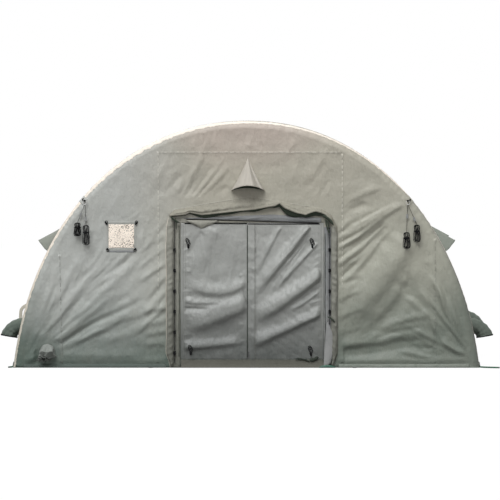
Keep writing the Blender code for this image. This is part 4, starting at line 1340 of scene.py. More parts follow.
@dataclass
class EndWall:
    """A canvas end wall: a grid of cloth cut to the section, with openings and folds."""

    section: TunnelSection
    cover: CoverShell
    holes: list[Hole]
    folds: Folds
    quiet: list[tuple[float, float, float, float]]
    facing: int = -1            # -1 for the front wall, +1 for the rear
    step: float = 0.021
    seed: int = 3
    gain: float = 1.5
    wrap: float = 62            # degrees that its edge goes round the rim

    def relief(self, x: Array, z: Array) -> Array:
        """How far the cloth stands out of its plane.

        Args:
            x: places across the wall.
            z: places up the wall.

        Returns:
            Heights in metres: folds and a calm random surface, flat by the rim, the ground and
            in the quiet places where other pieces are seated.
        """
        x, z = np.broadcast_arrays(np.asarray(x, float), np.asarray(z, float))
        height = self.gain * (0.8 + 0.3 * ease((x + 1.0) / 2.0)) * folded(x, z, self.folds)
        height = height + 0.004 * ripple(x, z, 0.55, self.seed) + 0.0014 * ripple(x, z, 0.16, self.seed + 1)
        calm = np.ones(x.shape)
        for left, right, low, high in self.quiet:
            gap = np.maximum(np.maximum(left - x, x - right), np.maximum(low - z, z - high))
            calm *= ease(gap / 0.06)
        beside = np.interp(np.clip(z, 0, 2.8), self.side[:, 1], self.side[:, 0]) - np.abs(x)
        above = np.interp(np.abs(x), self.side[::-1, 0], self.side[::-1, 1]) - z
        edge = np.minimum(beside, np.maximum(above, 0))
        calm *= ease((edge - 0.004) / 0.13)
        climb = np.interp(z, self.climb[:, 0], self.climb[:, 1])
        way = np.where(x < 0, climb, self.section.length - climb)
        height = height + np.maximum(self.cover.ruck(way, 0), 0) * 0.8 * np.exp(-np.maximum(edge, 0) / 0.055)
        height = height * calm * ease((z - 0.01) / 0.06)
        kick = 0.012 * bell(z, np.where(z > 0.085, 0.045, 0.022), 0.085) * calm
        # By the rim no valley goes deeper than the arch beam behind it lets it
        return np.maximum(height, -0.03 * ease((edge - 0.38) / 0.15) * calm) + kick

    def __post_init__(self) -> None:
        """Keep the edge of the wall as a fine line, and its right half by height."""
        self.edge = self.section.outline(EDGE_INSET)
        right = self.edge[len(self.edge) // 2 :][::-1]
        self.side = right[np.concatenate([[True], np.diff(right[:, 1]) > 1e-6])]
        middle = len(self.section.trace) // 2
        self.climb = coords(self.section.trace[: middle + 1, 1], self.section.run[: middle + 1])

    def build(self, name: str) -> Piece:
        """Make the wall.

        The grid's lines pass through the corners of the rectangular openings. Points outside the
        section, or inside a round opening, that belong to a face that stays are moved to the
        nearest point of that edge.

        Args:
            name: name of the piece.

        Returns:
            The wall.
        """
        x_breaks = sorted({-2.72, 2.72, *(v for h in self.holes if not h.radius for v in h.x)})
        z_breaks = sorted({FLOOR, 2.87, *(v for h in self.holes if not h.radius for v in h.z)})
        x, z = np.meshgrid(spaced(x_breaks, self.step), spaced(z_breaks, self.step))
        rows, columns = x.shape
        faces = quads(rows, columns)
        flat = coords(x.ravel(), z.ravel())
        half = np.interp(flat[:, 1], self.side[:, 1], self.side[:, 0], right=0.0)
        inside = (np.abs(flat[:, 0]) < half) & (flat[:, 1] < self.side[-1, 1])
        kept = inside[faces].any(1)
        moved, open_faces = self.pierced(flat, faces)
        faces = faces[kept & open_faces]
        used = np.unique(faces)
        stray = used[~inside[used]]
        gap = np.linalg.norm(moved[stray][:, None] - self.edge, axis=-1)
        inner = used[inside[used]]
        inner = inner[half[inner] - np.abs(flat[inner, 0]) < 2 * self.step]
        near = np.linalg.norm(flat[inner][:, None] - self.edge, axis=-1)
        close = near.min(1) < 0.4 * self.step
        inner, near = inner[close], near[close]
        away = flat[inner] - self.edge[near.argmin(1)]
        moved[inner] += away * (0.4 * self.step / near.min(1) - 1)[:, None]
        number = np.full(len(flat), -1)
        number[used] = np.arange(len(used))
        faces = number[faces]
        chain = self.chain(faces, number[stray], gap.argmin(1))
        share = np.sort([part for _, part in chain]) + 1e-5 * np.arange(len(chain))
        edge = np.array([vertex for vertex, _ in chain])
        verts, faces, place = self.rolled(moved[used], faces, edge, share)
        if self.facing > 0:
            verts[:, 1] *= -1
            faces = faces[:, ::-1]
        thing = mesh_piece(name, verts, list(faces), place)
        thicken(thing, 0.003)
        self.declare()
        return thing

    def pierced(self, flat: Array, faces: Array) -> tuple[Array, Array]:
        """Cut the openings.

        Args:
            flat: points of the grid, (x, z).
            faces: faces of the grid.

        Returns:
            The points, those inside a round opening moved out to its edge, and whether each face stays.
        """
        moved, kept = flat.copy(), np.ones(len(faces), bool)
        middle = flat[faces].mean(1)
        for hole in self.holes:
            centre = np.array(hole.centre)
            if hole.radius:
                gap = np.linalg.norm(flat - centre, axis=1)
                within = gap < hole.radius
                kept &= ~within[faces].all(1)
                pull = within & (gap > 1e-6)
                moved[pull] = centre + (flat[pull] - centre) / gap[pull, None] * hole.radius
            else:
                kept &= (np.abs(middle - centre) >= (np.ptp(hole.x) / 2, np.ptp(hole.z) / 2)).any(1)
        return moved, kept

    def rolled(self, place: Array, faces: Array, last: Array, share: Array) -> tuple[Array, Array, Array]:
        """Stand the cut cloth up with its folds, and carry its edge on round the rim.

        Args:
            place: points of the cut cloth, (x, z).
            faces: its faces.
            last: vertices of its edge along the section.
            share: share of the way round the section of each of them.

        Returns:
            Vertices, faces, and places on the flat cloth.
        """
        place[last], normal = self.section.at(share, EDGE_INSET)
        edge = place[last]
        verts = coords(place[:, 0], FRONT - self.relief(place[:, 0], place[:, 1]), place[:, 1])
        for turn in np.radians(np.linspace(7, self.wrap, 9)):
            ruck = np.maximum(self.cover.ruck(share * self.section.length, turn), -0.001)
            row = self.cover.rim_row(share, turn, 0.0018 + ruck * (0.3 + 0.7 * math.sin(turn)), 1)
            fresh = len(verts) + np.arange(len(row))
            verts = np.concatenate([verts, row])
            place = np.concatenate([place, edge + normal * RIM * turn])
            faces = np.concatenate([faces, coords(last[:-1], last[1:], fresh[1:], fresh[:-1])])
            last = fresh
        return verts, faces, place

    def declare(self) -> None:
        ahead = np.roll(self.edge, -1, axis=0)
        cut = abs((self.edge[:, 0] * ahead[:, 1] - ahead[:, 0] * self.edge[:, 1]).sum()) / 2
        cut -= sum(PI * h.radius**2 if h.radius else np.ptp(h.x) * np.ptp(h.z) for h in self.holes)

    def chain(self, faces: Array, rim: Array, spot: Array) -> list[tuple[int, float]]:
        """The open edge of the cloth along the section, in order from the left foot.

        Args:
            faces: faces of the cloth.
            rim: vertices on that edge.
            spot: number of each one's nearest point on the fine edge line.

        Returns:
            Each vertex of the edge with its share of the way round.
        """
        sides = coords(faces, np.roll(faces, -1, axis=1)).reshape(-1, 2)
        pairs, count = np.unique(np.sort(sides, axis=1), axis=0, return_counts=True)
        single = pairs[count == 1]
        single = single[np.isin(single, rim).all(1)]
        share = dict(zip(rim.tolist(), (spot / (len(self.edge) - 1)).tolist()))
        links: dict[int, list[int]] = {}
        for one, two in single.tolist():
            links.setdefault(one, []).append(two)
            links.setdefault(two, []).append(one)
        here = min((v for v in links if len(links[v]) == 1), key=share.get)
        order, seen = [here], {here}
        while True:
            ahead = [v for v in links[order[-1]] if v not in seen]
            if not ahead:
                return [(v, share[v]) for v in order]
            order.append(ahead[0])
            seen.add(ahead[0])

    def on_wall(self, points: Array, lift: float = 0.0) -> Array:
        """Points (x, z) set on the cloth's face, raised by a lift.

        Args:
            points: places (x, z) on the wall.
            lift: height over the cloth.

        Returns:
            The points.
        """
        points = np.asarray(points, float)
        y = self.facing * (-FRONT + self.relief(points[:, 0], points[:, 1]) + lift)
        return coords(points[:, 0], y, points[:, 1])


def pleats(x: float, reach: float, levels: Array, drop: float, width: float, height: float,
        seed: int) -> list[Fold]:
    """Short folds side by side that run from a seam: rows of small crests, some with valleys.

    Args:
        x: place of the seam.
        reach: signed length of the folds across the wall.
        levels: heights at the seam.
        drop: fall of a fold over its length.
        width: width of a fold.
        height: height of a fold.
        seed: seed of their unevenness.

    Returns:
        The folds.
    """
    rng = np.random.default_rng(seed)
    found = []
    for level in levels:
        far = x + reach * rng.uniform(0.6, 1.3)
        low = level - drop * rng.uniform(0.7, 1.4)
        start = (x, level + rng.uniform(-0.02, 0.02))
        middle = ((x + far) / 2, (start[1] + low) / 2 + rng.uniform(-0.01, 0.015))
        size = height * rng.uniform(0.5, 1.3)
        found.append(Fold(start, middle, (far, low), width * rng.uniform(0.8, 1.4), size, 0.7, 0.02))
        valley = (start[0], start[1] - 0.05), (middle[0], middle[1] - 0.05), (far, low - 0.05)
        found.append(Fold(*valley, width * 1.2, -0.6 * size, 0.7, 0.02))
    return found


def front_folds() -> Folds:
    """Folds of the front wall: fans from the corners and shoulders, long diagonals, pleats.

    Returns:
        The folds.
    """
    left_corner, right_corner = (-2.66, 0.07), (2.74, 0.1)
    folds = fold_rows(
        (*left_corner, -2.45, 0.65, -2.22, 1.3, 0.05, 0.014, 0.35, 0.02),
        (*left_corner, -2.28, 0.55, -1.85, 1.18, 0.06, 0.018, 0.3, 0.02),
        (*left_corner, -2.15, 0.42, -1.35, 1.12, 0.07, 0.017, 0.3, 0.02),
        (*left_corner, -2.05, 0.3, -1.15, 0.78, 0.07, 0.013, 0.3, 0.02),
        (-2.5, 0.25, -2.2, 0.62, -1.95, 1.0, 0.05, -0.012),
        (-2.3, 0.2, -1.85, 0.55, -1.3, 0.92, 0.06, -0.012),
        (-2.05, 0.55, -1.65, 0.98, -1.22, 1.32, 0.06, 0.013),
        (-1.95, 0.7, -1.6, 1.12, -1.3, 1.4, 0.05, -0.01),
        (-2.25, 0.95, -2.0, 1.35, -1.85, 1.72, 0.06, 0.01),
        (2.68, 0.1, 2.5, 0.66, 2.35, 1.3, 0.042, 0.034, 0.4, 0.02),
        (2.6, 0.14, 2.3, 0.4, 2.1, 0.86, 0.05, 0.014, 0.4, 0.02),
        (-1.75, 0.3, -1.35, 0.42, -1.0, 0.62, 0.05, 0.01),
        (-2.3, 0.16, -1.7, 0.14, -1.05, 0.17, 0.05, 0.012),
        (-1.0, 2.45, -1.05, 2.25, -1.22, 2.02, 0.05, 0.006),
        (-0.36, 2.55, -0.55, 2.28, -0.8, 2.0, 0.05, -0.009),
        (-0.5, 2.57, -0.7, 2.27, -0.93, 2.02, 0.05, 0.009),
        (-0.62, 2.5, -0.82, 2.28, -0.99, 2.06, 0.04, -0.008),
        (-0.2, 2.42, -0.33, 2.26, -0.52, 2.06, 0.045, 0.008),
        (-0.1, 2.3, -0.2, 2.2, -0.36, 2.08, 0.035, -0.007),
        (-0.3, 2.86, -0.36, 2.74, -0.44, 2.6, 0.035, -0.006),
        (-0.45, 2.84, -0.52, 2.72, -0.6, 2.6, 0.03, -0.006),
        (0.12, 2.84, 0.06, 2.72, 0.03, 2.6, 0.04, 0.005),
        (0.6, 2.8, 0.52, 2.62, 0.4, 2.42, 0.05, 0.005),
        (0.95, 2.66, 0.85, 2.4, 0.62, 2.14, 0.06, 0.007),
        (1.02, 2.4, 0.95, 2.22, 0.8, 2.05, 0.05, -0.006),
        (1.98, 2.0, 1.6, 1.8, 1.18, 1.5, 0.07, 0.014, 0.4, 0.02),
        (1.9, 1.88, 1.55, 1.62, 1.2, 1.36, 0.06, -0.012),
        (1.75, 2.08, 1.45, 1.98, 1.16, 1.86, 0.045, -0.01),
        (1.6, 2.16, 1.4, 2.08, 1.18, 1.98, 0.04, 0.009),
        (2.0, 1.58, 1.62, 1.02, 1.16, 0.48, 0.16, 0.029),
        (2.1, 1.3, 1.8, 0.74, 1.3, 0.3, 0.1, -0.02),
        (1.7, 1.62, 1.45, 1.28, 1.18, 1.0, 0.07, -0.016),
        (*right_corner, 2.42, 0.6, 2.28, 1.08, 0.05, 0.017, 0.3, 0.02),
        (*right_corner, 2.55, 0.8, 2.36, 1.52, 0.05, -0.014, 0.4, 0.02),
        (*right_corner, 2.6, 0.75, 2.48, 1.3, 0.04, 0.015, 0.4, 0.02),
        (*right_corner, 2.25, 0.34, 1.9, 0.52, 0.05, 0.014, 0.35, 0.02),
        (*right_corner, 2.3, 0.22, 1.85, 0.26, 0.04, -0.01, 0.35, 0.02),
        (2.2, 0.62, 1.85, 0.56, 1.5, 0.4, 0.05, 0.011),
        (2.12, 0.48, 1.75, 0.42, 1.42, 0.28, 0.04, -0.011),
        (1.12, 0.19, 1.6, 0.24, 2.2, 0.36, 0.065, -0.03),
        (1.12, 0.26, 1.6, 0.34, 2.05, 0.44, 0.05, 0.01),
        (2.3, 1.75, 2.27, 1.55, 2.26, 1.2, 0.03, 0.009),
    )
    folds += pleats(-0.965, -0.3, np.arange(0.75, 1.8, 0.17), 0.3, 0.034, 0.008, 41)
    folds += pleats(-0.965, -0.26, np.arange(0.3, 0.75, 0.14), 0.05, 0.034, 0.007, 43)
    folds += pleats(1.105, 0.26, np.arange(0.4, 1.85, 0.21), -0.1, 0.034, 0.006, 42)
    folds += [
        Fan((-2.72, 0.03), 12, 74, 0.5, 2.3, 7, 0.0075, 5),
        Fan((-2.3, 0.6), 30, 66, 0.6, 1.9, 7, 0.005, 6),
        Fan((-2.8, -0.04), 14, 58, 0.14, 1.0, 10, 0.005, 15),
        Fan((-0.97, 1.6), 34, 78, 0.35, 1.45, 7, 0.006, 7),
        Fan((2.02, 2.08), 200, 243, 0.4, 2.1, 5, 0.009, 8),
        Fan((2.78, 0.02), 106, 140, 0.2, 1.6, 3, 0.019, 9),
        Fan((2.78, 0.02), 144, 177, 0.5, 1.7, 3, 0.006, 14),
        Fan((1.15, 2.6), 225, 262, 0.3, 0.9, 4, 0.003, 10),
        Fan((-1.06, 2.02), 200, 262, 0.25, 1.1, 6, 0.004, 11),
    ]
    return folds


@dataclass
class FrontWall(Dresser):
    """The front end wall with its seams, ground hem and the screens behind its vents."""

    section: TunnelSection
    wardrobe: Wardrobe
    cover: CoverShell
    cloth_wall: EndWall = field(init=False)

    def __post_init__(self) -> None:
        """Set out the openings, the quiet places and the folds."""
        holes = [
            Hole(DOOR, (0.1, 1.74)),
            Hole((-1.635, -1.365), (1.455, 1.705)),
            round_hole(*DUCT, 0.092),
            round_hole(*VENT, VENT_RADIUS),
        ]
        quiet = [
            (-0.94, 1.08, 0.0, 1.8),
            (-1.05, 1.13, 1.76, 2.03),
            (-1.69, -1.31, 1.4, 1.76),
            (-0.2, 0.24, 2.1, 2.52),
            (-2.5, -2.28, 0.08, 0.3),
        ]
        self.cloth_wall = EndWall(self.section, self.cover, holes, front_folds(), quiet)

    def line(self, *points: tuple[float, float], step: float = 0.03) -> Array:
        """A line of close points on the wall through a few chosen ones."""
        run = run_of(np.array(points, float))
        return resampled(np.array(points, float), max(3, int(run[-1] / step)))

    def build(self) -> None:
        """Make the wall, its seams, its hem and the vent screen."""
        wall = self.cloth_wall
        self.dress(wall.build("front_end_wall"), Look.WALL, "front_wall")
        seams = {
            "crown": self.line((-1.06, CROWN_SEAM), (1.147, CROWN_SEAM)),
            "panel_left": self.line((-1.062, 2.6), (-1.062, 0.06)),
            "panel_right": self.line((1.147, 2.57), (1.147, 0.06)),
            "outer_left": self.line((-2.245, 1.36), (-2.215, 0.06)),
            "outer_right": self.line((2.262, 1.55), (2.262, 0.06)),
        }
        out = -Y_WAY
        rows, worn = [], []
        for name, line in seams.items():
            path = wall.on_wall(line, 0.0003)
            upright = abs(line[-1, 0] - line[0, 0]) < 0.5
            across = X_WAY if upright else Z_WAY
            self.dress(ribbon(f"wall_seam_{name}", path, across, out, 0.03, 0.0012), Look.WALL)
            high = path[path[:, 2] > 0.95] if upright and not name.startswith("outer") else path
            (worn if name.startswith("outer") else rows).append(high + across * 0.004 + out * 0.0014)
        self.dress(stitches("wall_seam_thread", rows, out, 0.066, 0.007), Look.THREAD)
        self.dress(stitches("wall_outer_thread", worn, out, 0.08, 0.0065), Look.SHADE_THREAD)
        self.hem()
        self.screen()

    def hem(self) -> None:
        """Turned-up hem along the ground, either side of the door: a loft of a rolled profile."""
        profile = np.array([(0.0, 0.0), (0.016, 0.0), (0.02, 0.008), (0.016, 0.02), (0.01, 0.036),
            (0.005, 0.045), (0.0, 0.048)])
        for side, low, high in (("left", -2.675, -0.965), ("right", 1.105, 2.675)):
            x = np.linspace(low, high, 90)
            wave = 1 + 0.25 * ripple(x, 0, 0.35, 71 if low < 0 else 72)
            slim = 1 - 0.5 * bell(x, 0.15, low if low < 0 else high)
            y = WALL_FACE - profile[:, 0] * (wave * slim)[:, None]
            z = HEM_FOOT + profile[:, 1] * (0.9 + 0.1 * wave)[:, None]
            rings = coords(x[:, None], y, z)
            # the left hem's dark finish is painted shade along the ground
            self.dress(loft(f"ground_hem_{side}", rings), Look.HEM if side == "left" else Look.WALL)

    def screen(self) -> None:
        """Net behind the vent: a disc with a raised rim."""
        turn = circle(32)
        rings = []
        for radius, y in ((0.03, 0.004), (0.056, 0.004), (0.072, 0.0032), (0.072, -0.001), (0.056, -0.001)):
            place = coords(VENT[0] + radius * np.cos(turn), FRONT + y, VENT[1] + radius * np.sin(turn))
            rings.append(place)
        self.dress(loft("vent_screen_front", np.array(rings)[::-1]), Look.CORD)


# Door


@dataclass
class DoorLeaf(Dresser):
    """One leaf: a slack sheet hung on its jamb, with folds across it and a zip along its edges."""

    side: int
    wardrobe: Wardrobe
    hinge: float
    meeting: float
    body: Body
    folds: Folds
    low: float = 0.1003
    high: float = 1.7385
    seed: int = 9
    gain: float = 1.85
    deepest: float = 0.08

    def relief(self, x: Array, z: Array) -> Array:
        """How far the cloth stands out: folds and small unevenness, quiet along its edges.

        Args:
            x: places across the door.
            z: places up the door.

        Returns:
            Heights in metres.
        """
        height = folded(x, z, self.folds)
        height = self.gain * height + 0.007 * ripple(x, z, 0.42, self.seed)
        height = height + 0.0018 * ripple(x, z, 0.13, self.seed + 1)
        edge = ease((np.abs(x - self.hinge) - 0.012) / 0.085)
        edge = edge * ease((z - self.low) / 0.07) * ease((self.high - z) / 0.09)
        centre = 0.25 + 0.75 * ease(np.abs(x - self.meeting) / (0.09 if self.side < 0 else 0.11))
        return self.deepest * np.tanh(height * edge * centre / self.deepest)

    def build(self) -> None:
        """Make the sheet with its edge seams and stitches."""
        x = np.linspace(min(self.hinge, self.meeting), max(self.hinge, self.meeting), 92)
        z = np.linspace(self.low, self.high, 172)
        x, z = np.meshgrid(x, z)
        grid = coords(x, FRONT - self.relief(x, z), z)
        leaf = cloth(f"door_leaf_cloth_{self.word}", grid, 0.0028)
        self.dress(leaf, Look.LEAF, f"door_leaf_{self.word}", body=self.body)
        self.edges()

    def on_leaf(self, x: Array, z: Array, lift: float) -> Array:
        """Points on the leaf's face, raised by a lift."""
        x, z = np.broadcast_arrays(np.asarray(x, float), np.asarray(z, float))
        return coords(x, FRONT - self.relief(x, z) - lift, z)

    def edges(self) -> None:
        """Stitches along the hinge, and on the right leaf by the meeting edge, and a zip tape along the head,
        black as painted shade.
        """
        out = -Y_WAY
        step = -self.side
        z = np.linspace(self.low + 0.01, self.high - 0.01, 60)
        rows = []
        for shift in (0.028, 0.036, 0.058):
            rows.append(self.on_leaf(self.hinge + step * shift, z, 0.0002))
        if self.side > 0:
            for shift in (0.085, 0.096):
                rows.append(self.on_leaf(self.meeting + shift, z, 0.004))
        name = f"door_leaf_thread_{self.word}"
        self.dress(stitches(name, rows, out, 0.013, 0.004), Look.SHADE_THREAD, body=self.body)
        # Zip tape along the head, drawn black as painted shade of the gap under the head strip
        x = np.linspace(self.hinge + step * 0.05, self.meeting + 0.004 * self.side, 30)
        head = self.on_leaf(x, 1.731 if self.side < 0 else 1.727, 0.0004)
        tape = ribbon(f"door_head_zip_shade_{self.word}", head, Z_WAY, out, 0.013, 0.004)
        self.dress(tape, Look.CORD, body=self.body)

    def toggle(self, name: str, x: float, z: float, loops: int = 3) -> None:
        """A barrel toggle hanging by loops of thin cord sewn to the leaf.

        Args:
            name: name of the pieces.
            x: place of the loops.
            z: height of the loops.
            loops: number of small cord loops.
        """
        at = self.on_leaf(np.array([x]), np.array([z]), 0.0)[0]
        turn = np.linspace(0, TAU, 18)
        for number in range(loops):
            lean = 0.5 * (number - (loops - 1) / 2)
            size = 0.016 + 0.004 * (number % 2)
            path = coords(at[0] + size * np.sin(turn) + lean * 0.022, at[1] - 0.006 - 0.003 * number,
                at[2] - 0.02 * number + 1.5 * size * np.cos(turn))
            self.dress(tube(f"{name}_loop_{number + 1}", path, 0.0032, 8), Look.CORD, body=self.body)
        tail = np.array([[at[0], at[1] - 0.008, at[2] - 0.045], [at[0] + 0.008, at[1] - 0.012, at[2] - 0.1]])
        fine = resampled(tail, 9)
        bulge = 0.007 + 0.006 * np.sin(np.linspace(0, PI, 9)) ** 0.5
        self.dress(tube(f"{name}_barrel", fine, bulge, 12), Look.CORD, body=self.body)


def left_leaf_folds() -> Folds:
    """Folds of the left leaf: a broad sweep up to the zip, a shallow bow over it, and pleats.

    Returns:
        The folds.
    """
    folds = fold_rows(
        (0.02, 0.75, -0.3, 0.63, -0.76, 0.45, 0.125, 0.058, 0.8, 0.02),
        (0.02, 1.03, -0.36, 0.9, -0.76, 1.04, 0.08, 0.022, 0.8, 0.02),
        (-0.77, 0.8, -0.55, 0.78, -0.3, 0.8, 0.036, 0.01),
        (-0.77, 0.72, -0.6, 0.71, -0.42, 0.7, 0.03, -0.01),
        (-0.77, 0.24, -0.38, 0.27, 0.0, 0.32, 0.06, 0.02, 0.8, 0.05),
        (-0.34, 1.66, -0.46, 1.45, -0.52, 1.16, 0.09, 0.008),
        (-0.52, 1.64, -0.62, 1.48, -0.7, 1.32, 0.06, -0.007),
    )
    folds += pleats(-0.775, 0.12, np.arange(0.3, 1.6, 0.085), -0.015, 0.02, 0.003, 51)
    folds += pleats(0.002, -0.09, np.arange(0.22, 1.6, 0.1), 0.025, 0.02, 0.0024, 52)
    return folds


def right_leaf_folds() -> Folds:
    """Folds of the right leaf: diagonals fanning down from the head corner, pleats at the jamb.

    Returns:
        The folds.
    """
    folds = fold_rows(
        (0.76, 1.7, 0.49, 1.36, 0.03, 0.8, 0.07, 0.036, 0.4, 0.02),
        (0.92, 1.13, 0.54, 0.85, 0.04, 0.53, 0.1, 0.056, 0.5, 0.03),
        (0.92, 0.66, 0.38, 0.41, 0.03, 0.26, 0.075, 0.03, 0.6, 0.04),
        (0.86, 1.5, 0.6, 1.22, 0.26, 0.86, 0.045, 0.012, 0.4, 0.04),
        (0.91, 0.95, 0.72, 0.8, 0.48, 0.66, 0.036, 0.009, 0.5, 0.05),
        (0.42, 1.7, 0.24, 1.38, 0.1, 1.08, 0.05, 0.01, 0.5, 0.05),
    )
    folds.append(Fan((0.84, 1.7), 218, 252, 0.16, 1.1, 5, 0.004, 13))
    folds += pleats(0.915, -0.14, np.arange(0.45, 1.45, 0.09), 0.05, 0.02, 0.0036, 53)
    folds += pleats(0.015, 0.11, np.arange(0.25, 1.68, 0.12), 0.05, 0.022, 0.0036, 54)
    return folds


@dataclass
class Jamb(Dresser):
    """Cloth sleeve beside the door: strip, groove with its lacing, and an outer roll."""

    side: int
    wardrobe: Wardrobe
    edge: float
    top: float
    roll_width: float = 0.085
    roll_depth: float = 0.045

    def outer(self, z: Array) -> Array:
        """Width of the roll by height: drawn in at its pointed tail and, less, at its top.

        Args:
            z: places up the roll.

        Returns:
            Widths in metres.
        """
        tail = 1 - 0.55 * ease((0.2 - z) / 0.18)
        crown = 1 - 0.25 * ease((z - self.top + 0.12) / 0.12)
        return self.roll_width * tail * crown * (1 + 0.04 * ripple(z, 0, 0.4, 61 + self.side))

    def roll(self) -> None:
        """The padded roll: half an oval by the wall, uneven along its height."""
        z = np.linspace(0.0012, self.top, 150)
        t = np.linspace(0, PI, 22)
        width = self.outer(z)[:, None]
        slack = 1 + 0.16 * ripple(z[:, None], t * 0.05, 0.22, 63 + self.side)
        wave = TAU * z[:, None] / 0.085 + 5 * ripple(z[:, None], 0, 0.5, 68) + 1.6 * t
        crease = 0.13 * np.maximum(np.sin(wave), -0.5) * (0.6 + 0.4 * ripple(z[:, None], t * 0.1, 0.2, 69))
        depth = self.roll_depth * slack * (1 + crease) * (0.4 + 0.6 * ease(z[:, None] / 0.05))
        inner = self.edge + self.side * 0.085
        x = inner + self.side * width * (1 - np.cos(t)) / 2
        y = WALL_FACE - depth * np.sin(t) ** 0.8
        rings = coords(x, y, z[:, None])
        if self.side > 0:
            rings = rings[:, ::-1]
        roll = loft(f"jamb_roll_{self.word}", rings[:, ::-1])
        self.dress(roll, Look.EDGE, f"jamb_sleeve_{self.word}")
        x_edge = inner + self.side * (self.outer(z) - 0.001)
        path = coords(x_edge, WALL_FACE - 0.0055, z)
        self.dress(tube(f"jamb_piping_{self.word}", path, 0.0055, 10),
            Look.CREAM if self.side < 0 else Look.EDGE)

    def strip(self) -> None:
        """The flat strip along the door and the backing of the groove."""
        z = np.linspace(0.0012, self.top - 0.01, 110)
        sway = 0.0015 * ripple(z, 0, 0.3, 65 + self.side)
        face = 0.01 + 0.0018 * ripple(z, 1, 0.12, 66 + self.side)
        shape = np.array([(0.002, 0.0), (0.002, 0.8), (0.005, 1.0), (0.05, 1.0), (0.054, 0.8), (0.054, 0.0)])
        x = self.edge + self.side * (shape[:, 0] + sway[:, None])
        y = WALL_FACE - shape[:, 1] * face[:, None]
        rings = coords(x, y, z[:, None])
        if self.side < 0:
            rings = rings[:, ::-1]
        key = Look.EDGE if self.side < 0 else Look.PALE
        self.dress(loft(f"jamb_strip_{self.word}", rings), key)
        back = coords(self.edge + self.side * 0.07, WALL_FACE, z)
        plate = ribbon(f"jamb_groove_{self.word}", back, X_WAY, -Y_WAY, 0.034, 0.0035)
        self.dress(plate, key)
        # A dark line beside the door: painted shade of the gap between strip and leaf
        inner = z[(z > 0.12) & (z < self.top - 0.08)]
        shadow = coords(self.edge + self.side * (0.0165 + 0.002 * ripple(inner, 0, 0.3, 67)),
            WALL_FACE - 0.0095, inner)
        line = tube(f"jamb_inner_shade_{self.word}", shadow, 0.0045, 8)
        self.dress(line, Look.DARK)
        out = -Y_WAY
        rows = [
            coords(self.edge + self.side * shift, WALL_FACE - face - 0.0002, z)
            for shift in (0.009, 0.046)
        ]
        self.dress(stitches(f"jamb_thread_{self.word}", rows, out, 0.013, 0.004), Look.SHADE_THREAD)

    def lacing(self) -> None:
        """Lacing cord with six barrel toggles, carried on one profile that swells at each."""
        x = self.edge + self.side * 0.07
        z = np.linspace(0.06, self.top - 0.02, 700)
        first, pitch, half = 0.18, 0.247, 0.023
        gap = np.abs((z - first + pitch / 2) % pitch - pitch / 2)
        gap = np.where(z > first + 5.5 * pitch, 1.0, gap)
        barrel = ease((half - gap) / 0.006)
        radius = 0.004 + 0.0085 * barrel * (1 - 0.16 * np.cos(PI * gap / half))
        path = coords(x, WALL_FACE - 0.0043 - 0.011, z)
        self.dress(tube(f"jamb_lace_{self.word}", path, radius, 12), Look.CORD, f"jamb_lacing_{self.word}")
        for number in range(6):
            level = first + number * pitch
            turn = np.linspace(0, TAU, 17)
            loop = coords(x + self.side * 0.004 + 0.01 * np.sin(turn),
                WALL_FACE - 0.0285 + 0.002 * np.cos(turn), level + 0.017 * np.cos(turn))
            self.dress(tube(f"jamb_eye_{self.word}_{number + 1}", loop, 0.0022, 8), Look.CORD)

    def build(self) -> None:
        """Make the roll, the strip and the lacing."""
        self.roll()
        self.strip()
        self.lacing()


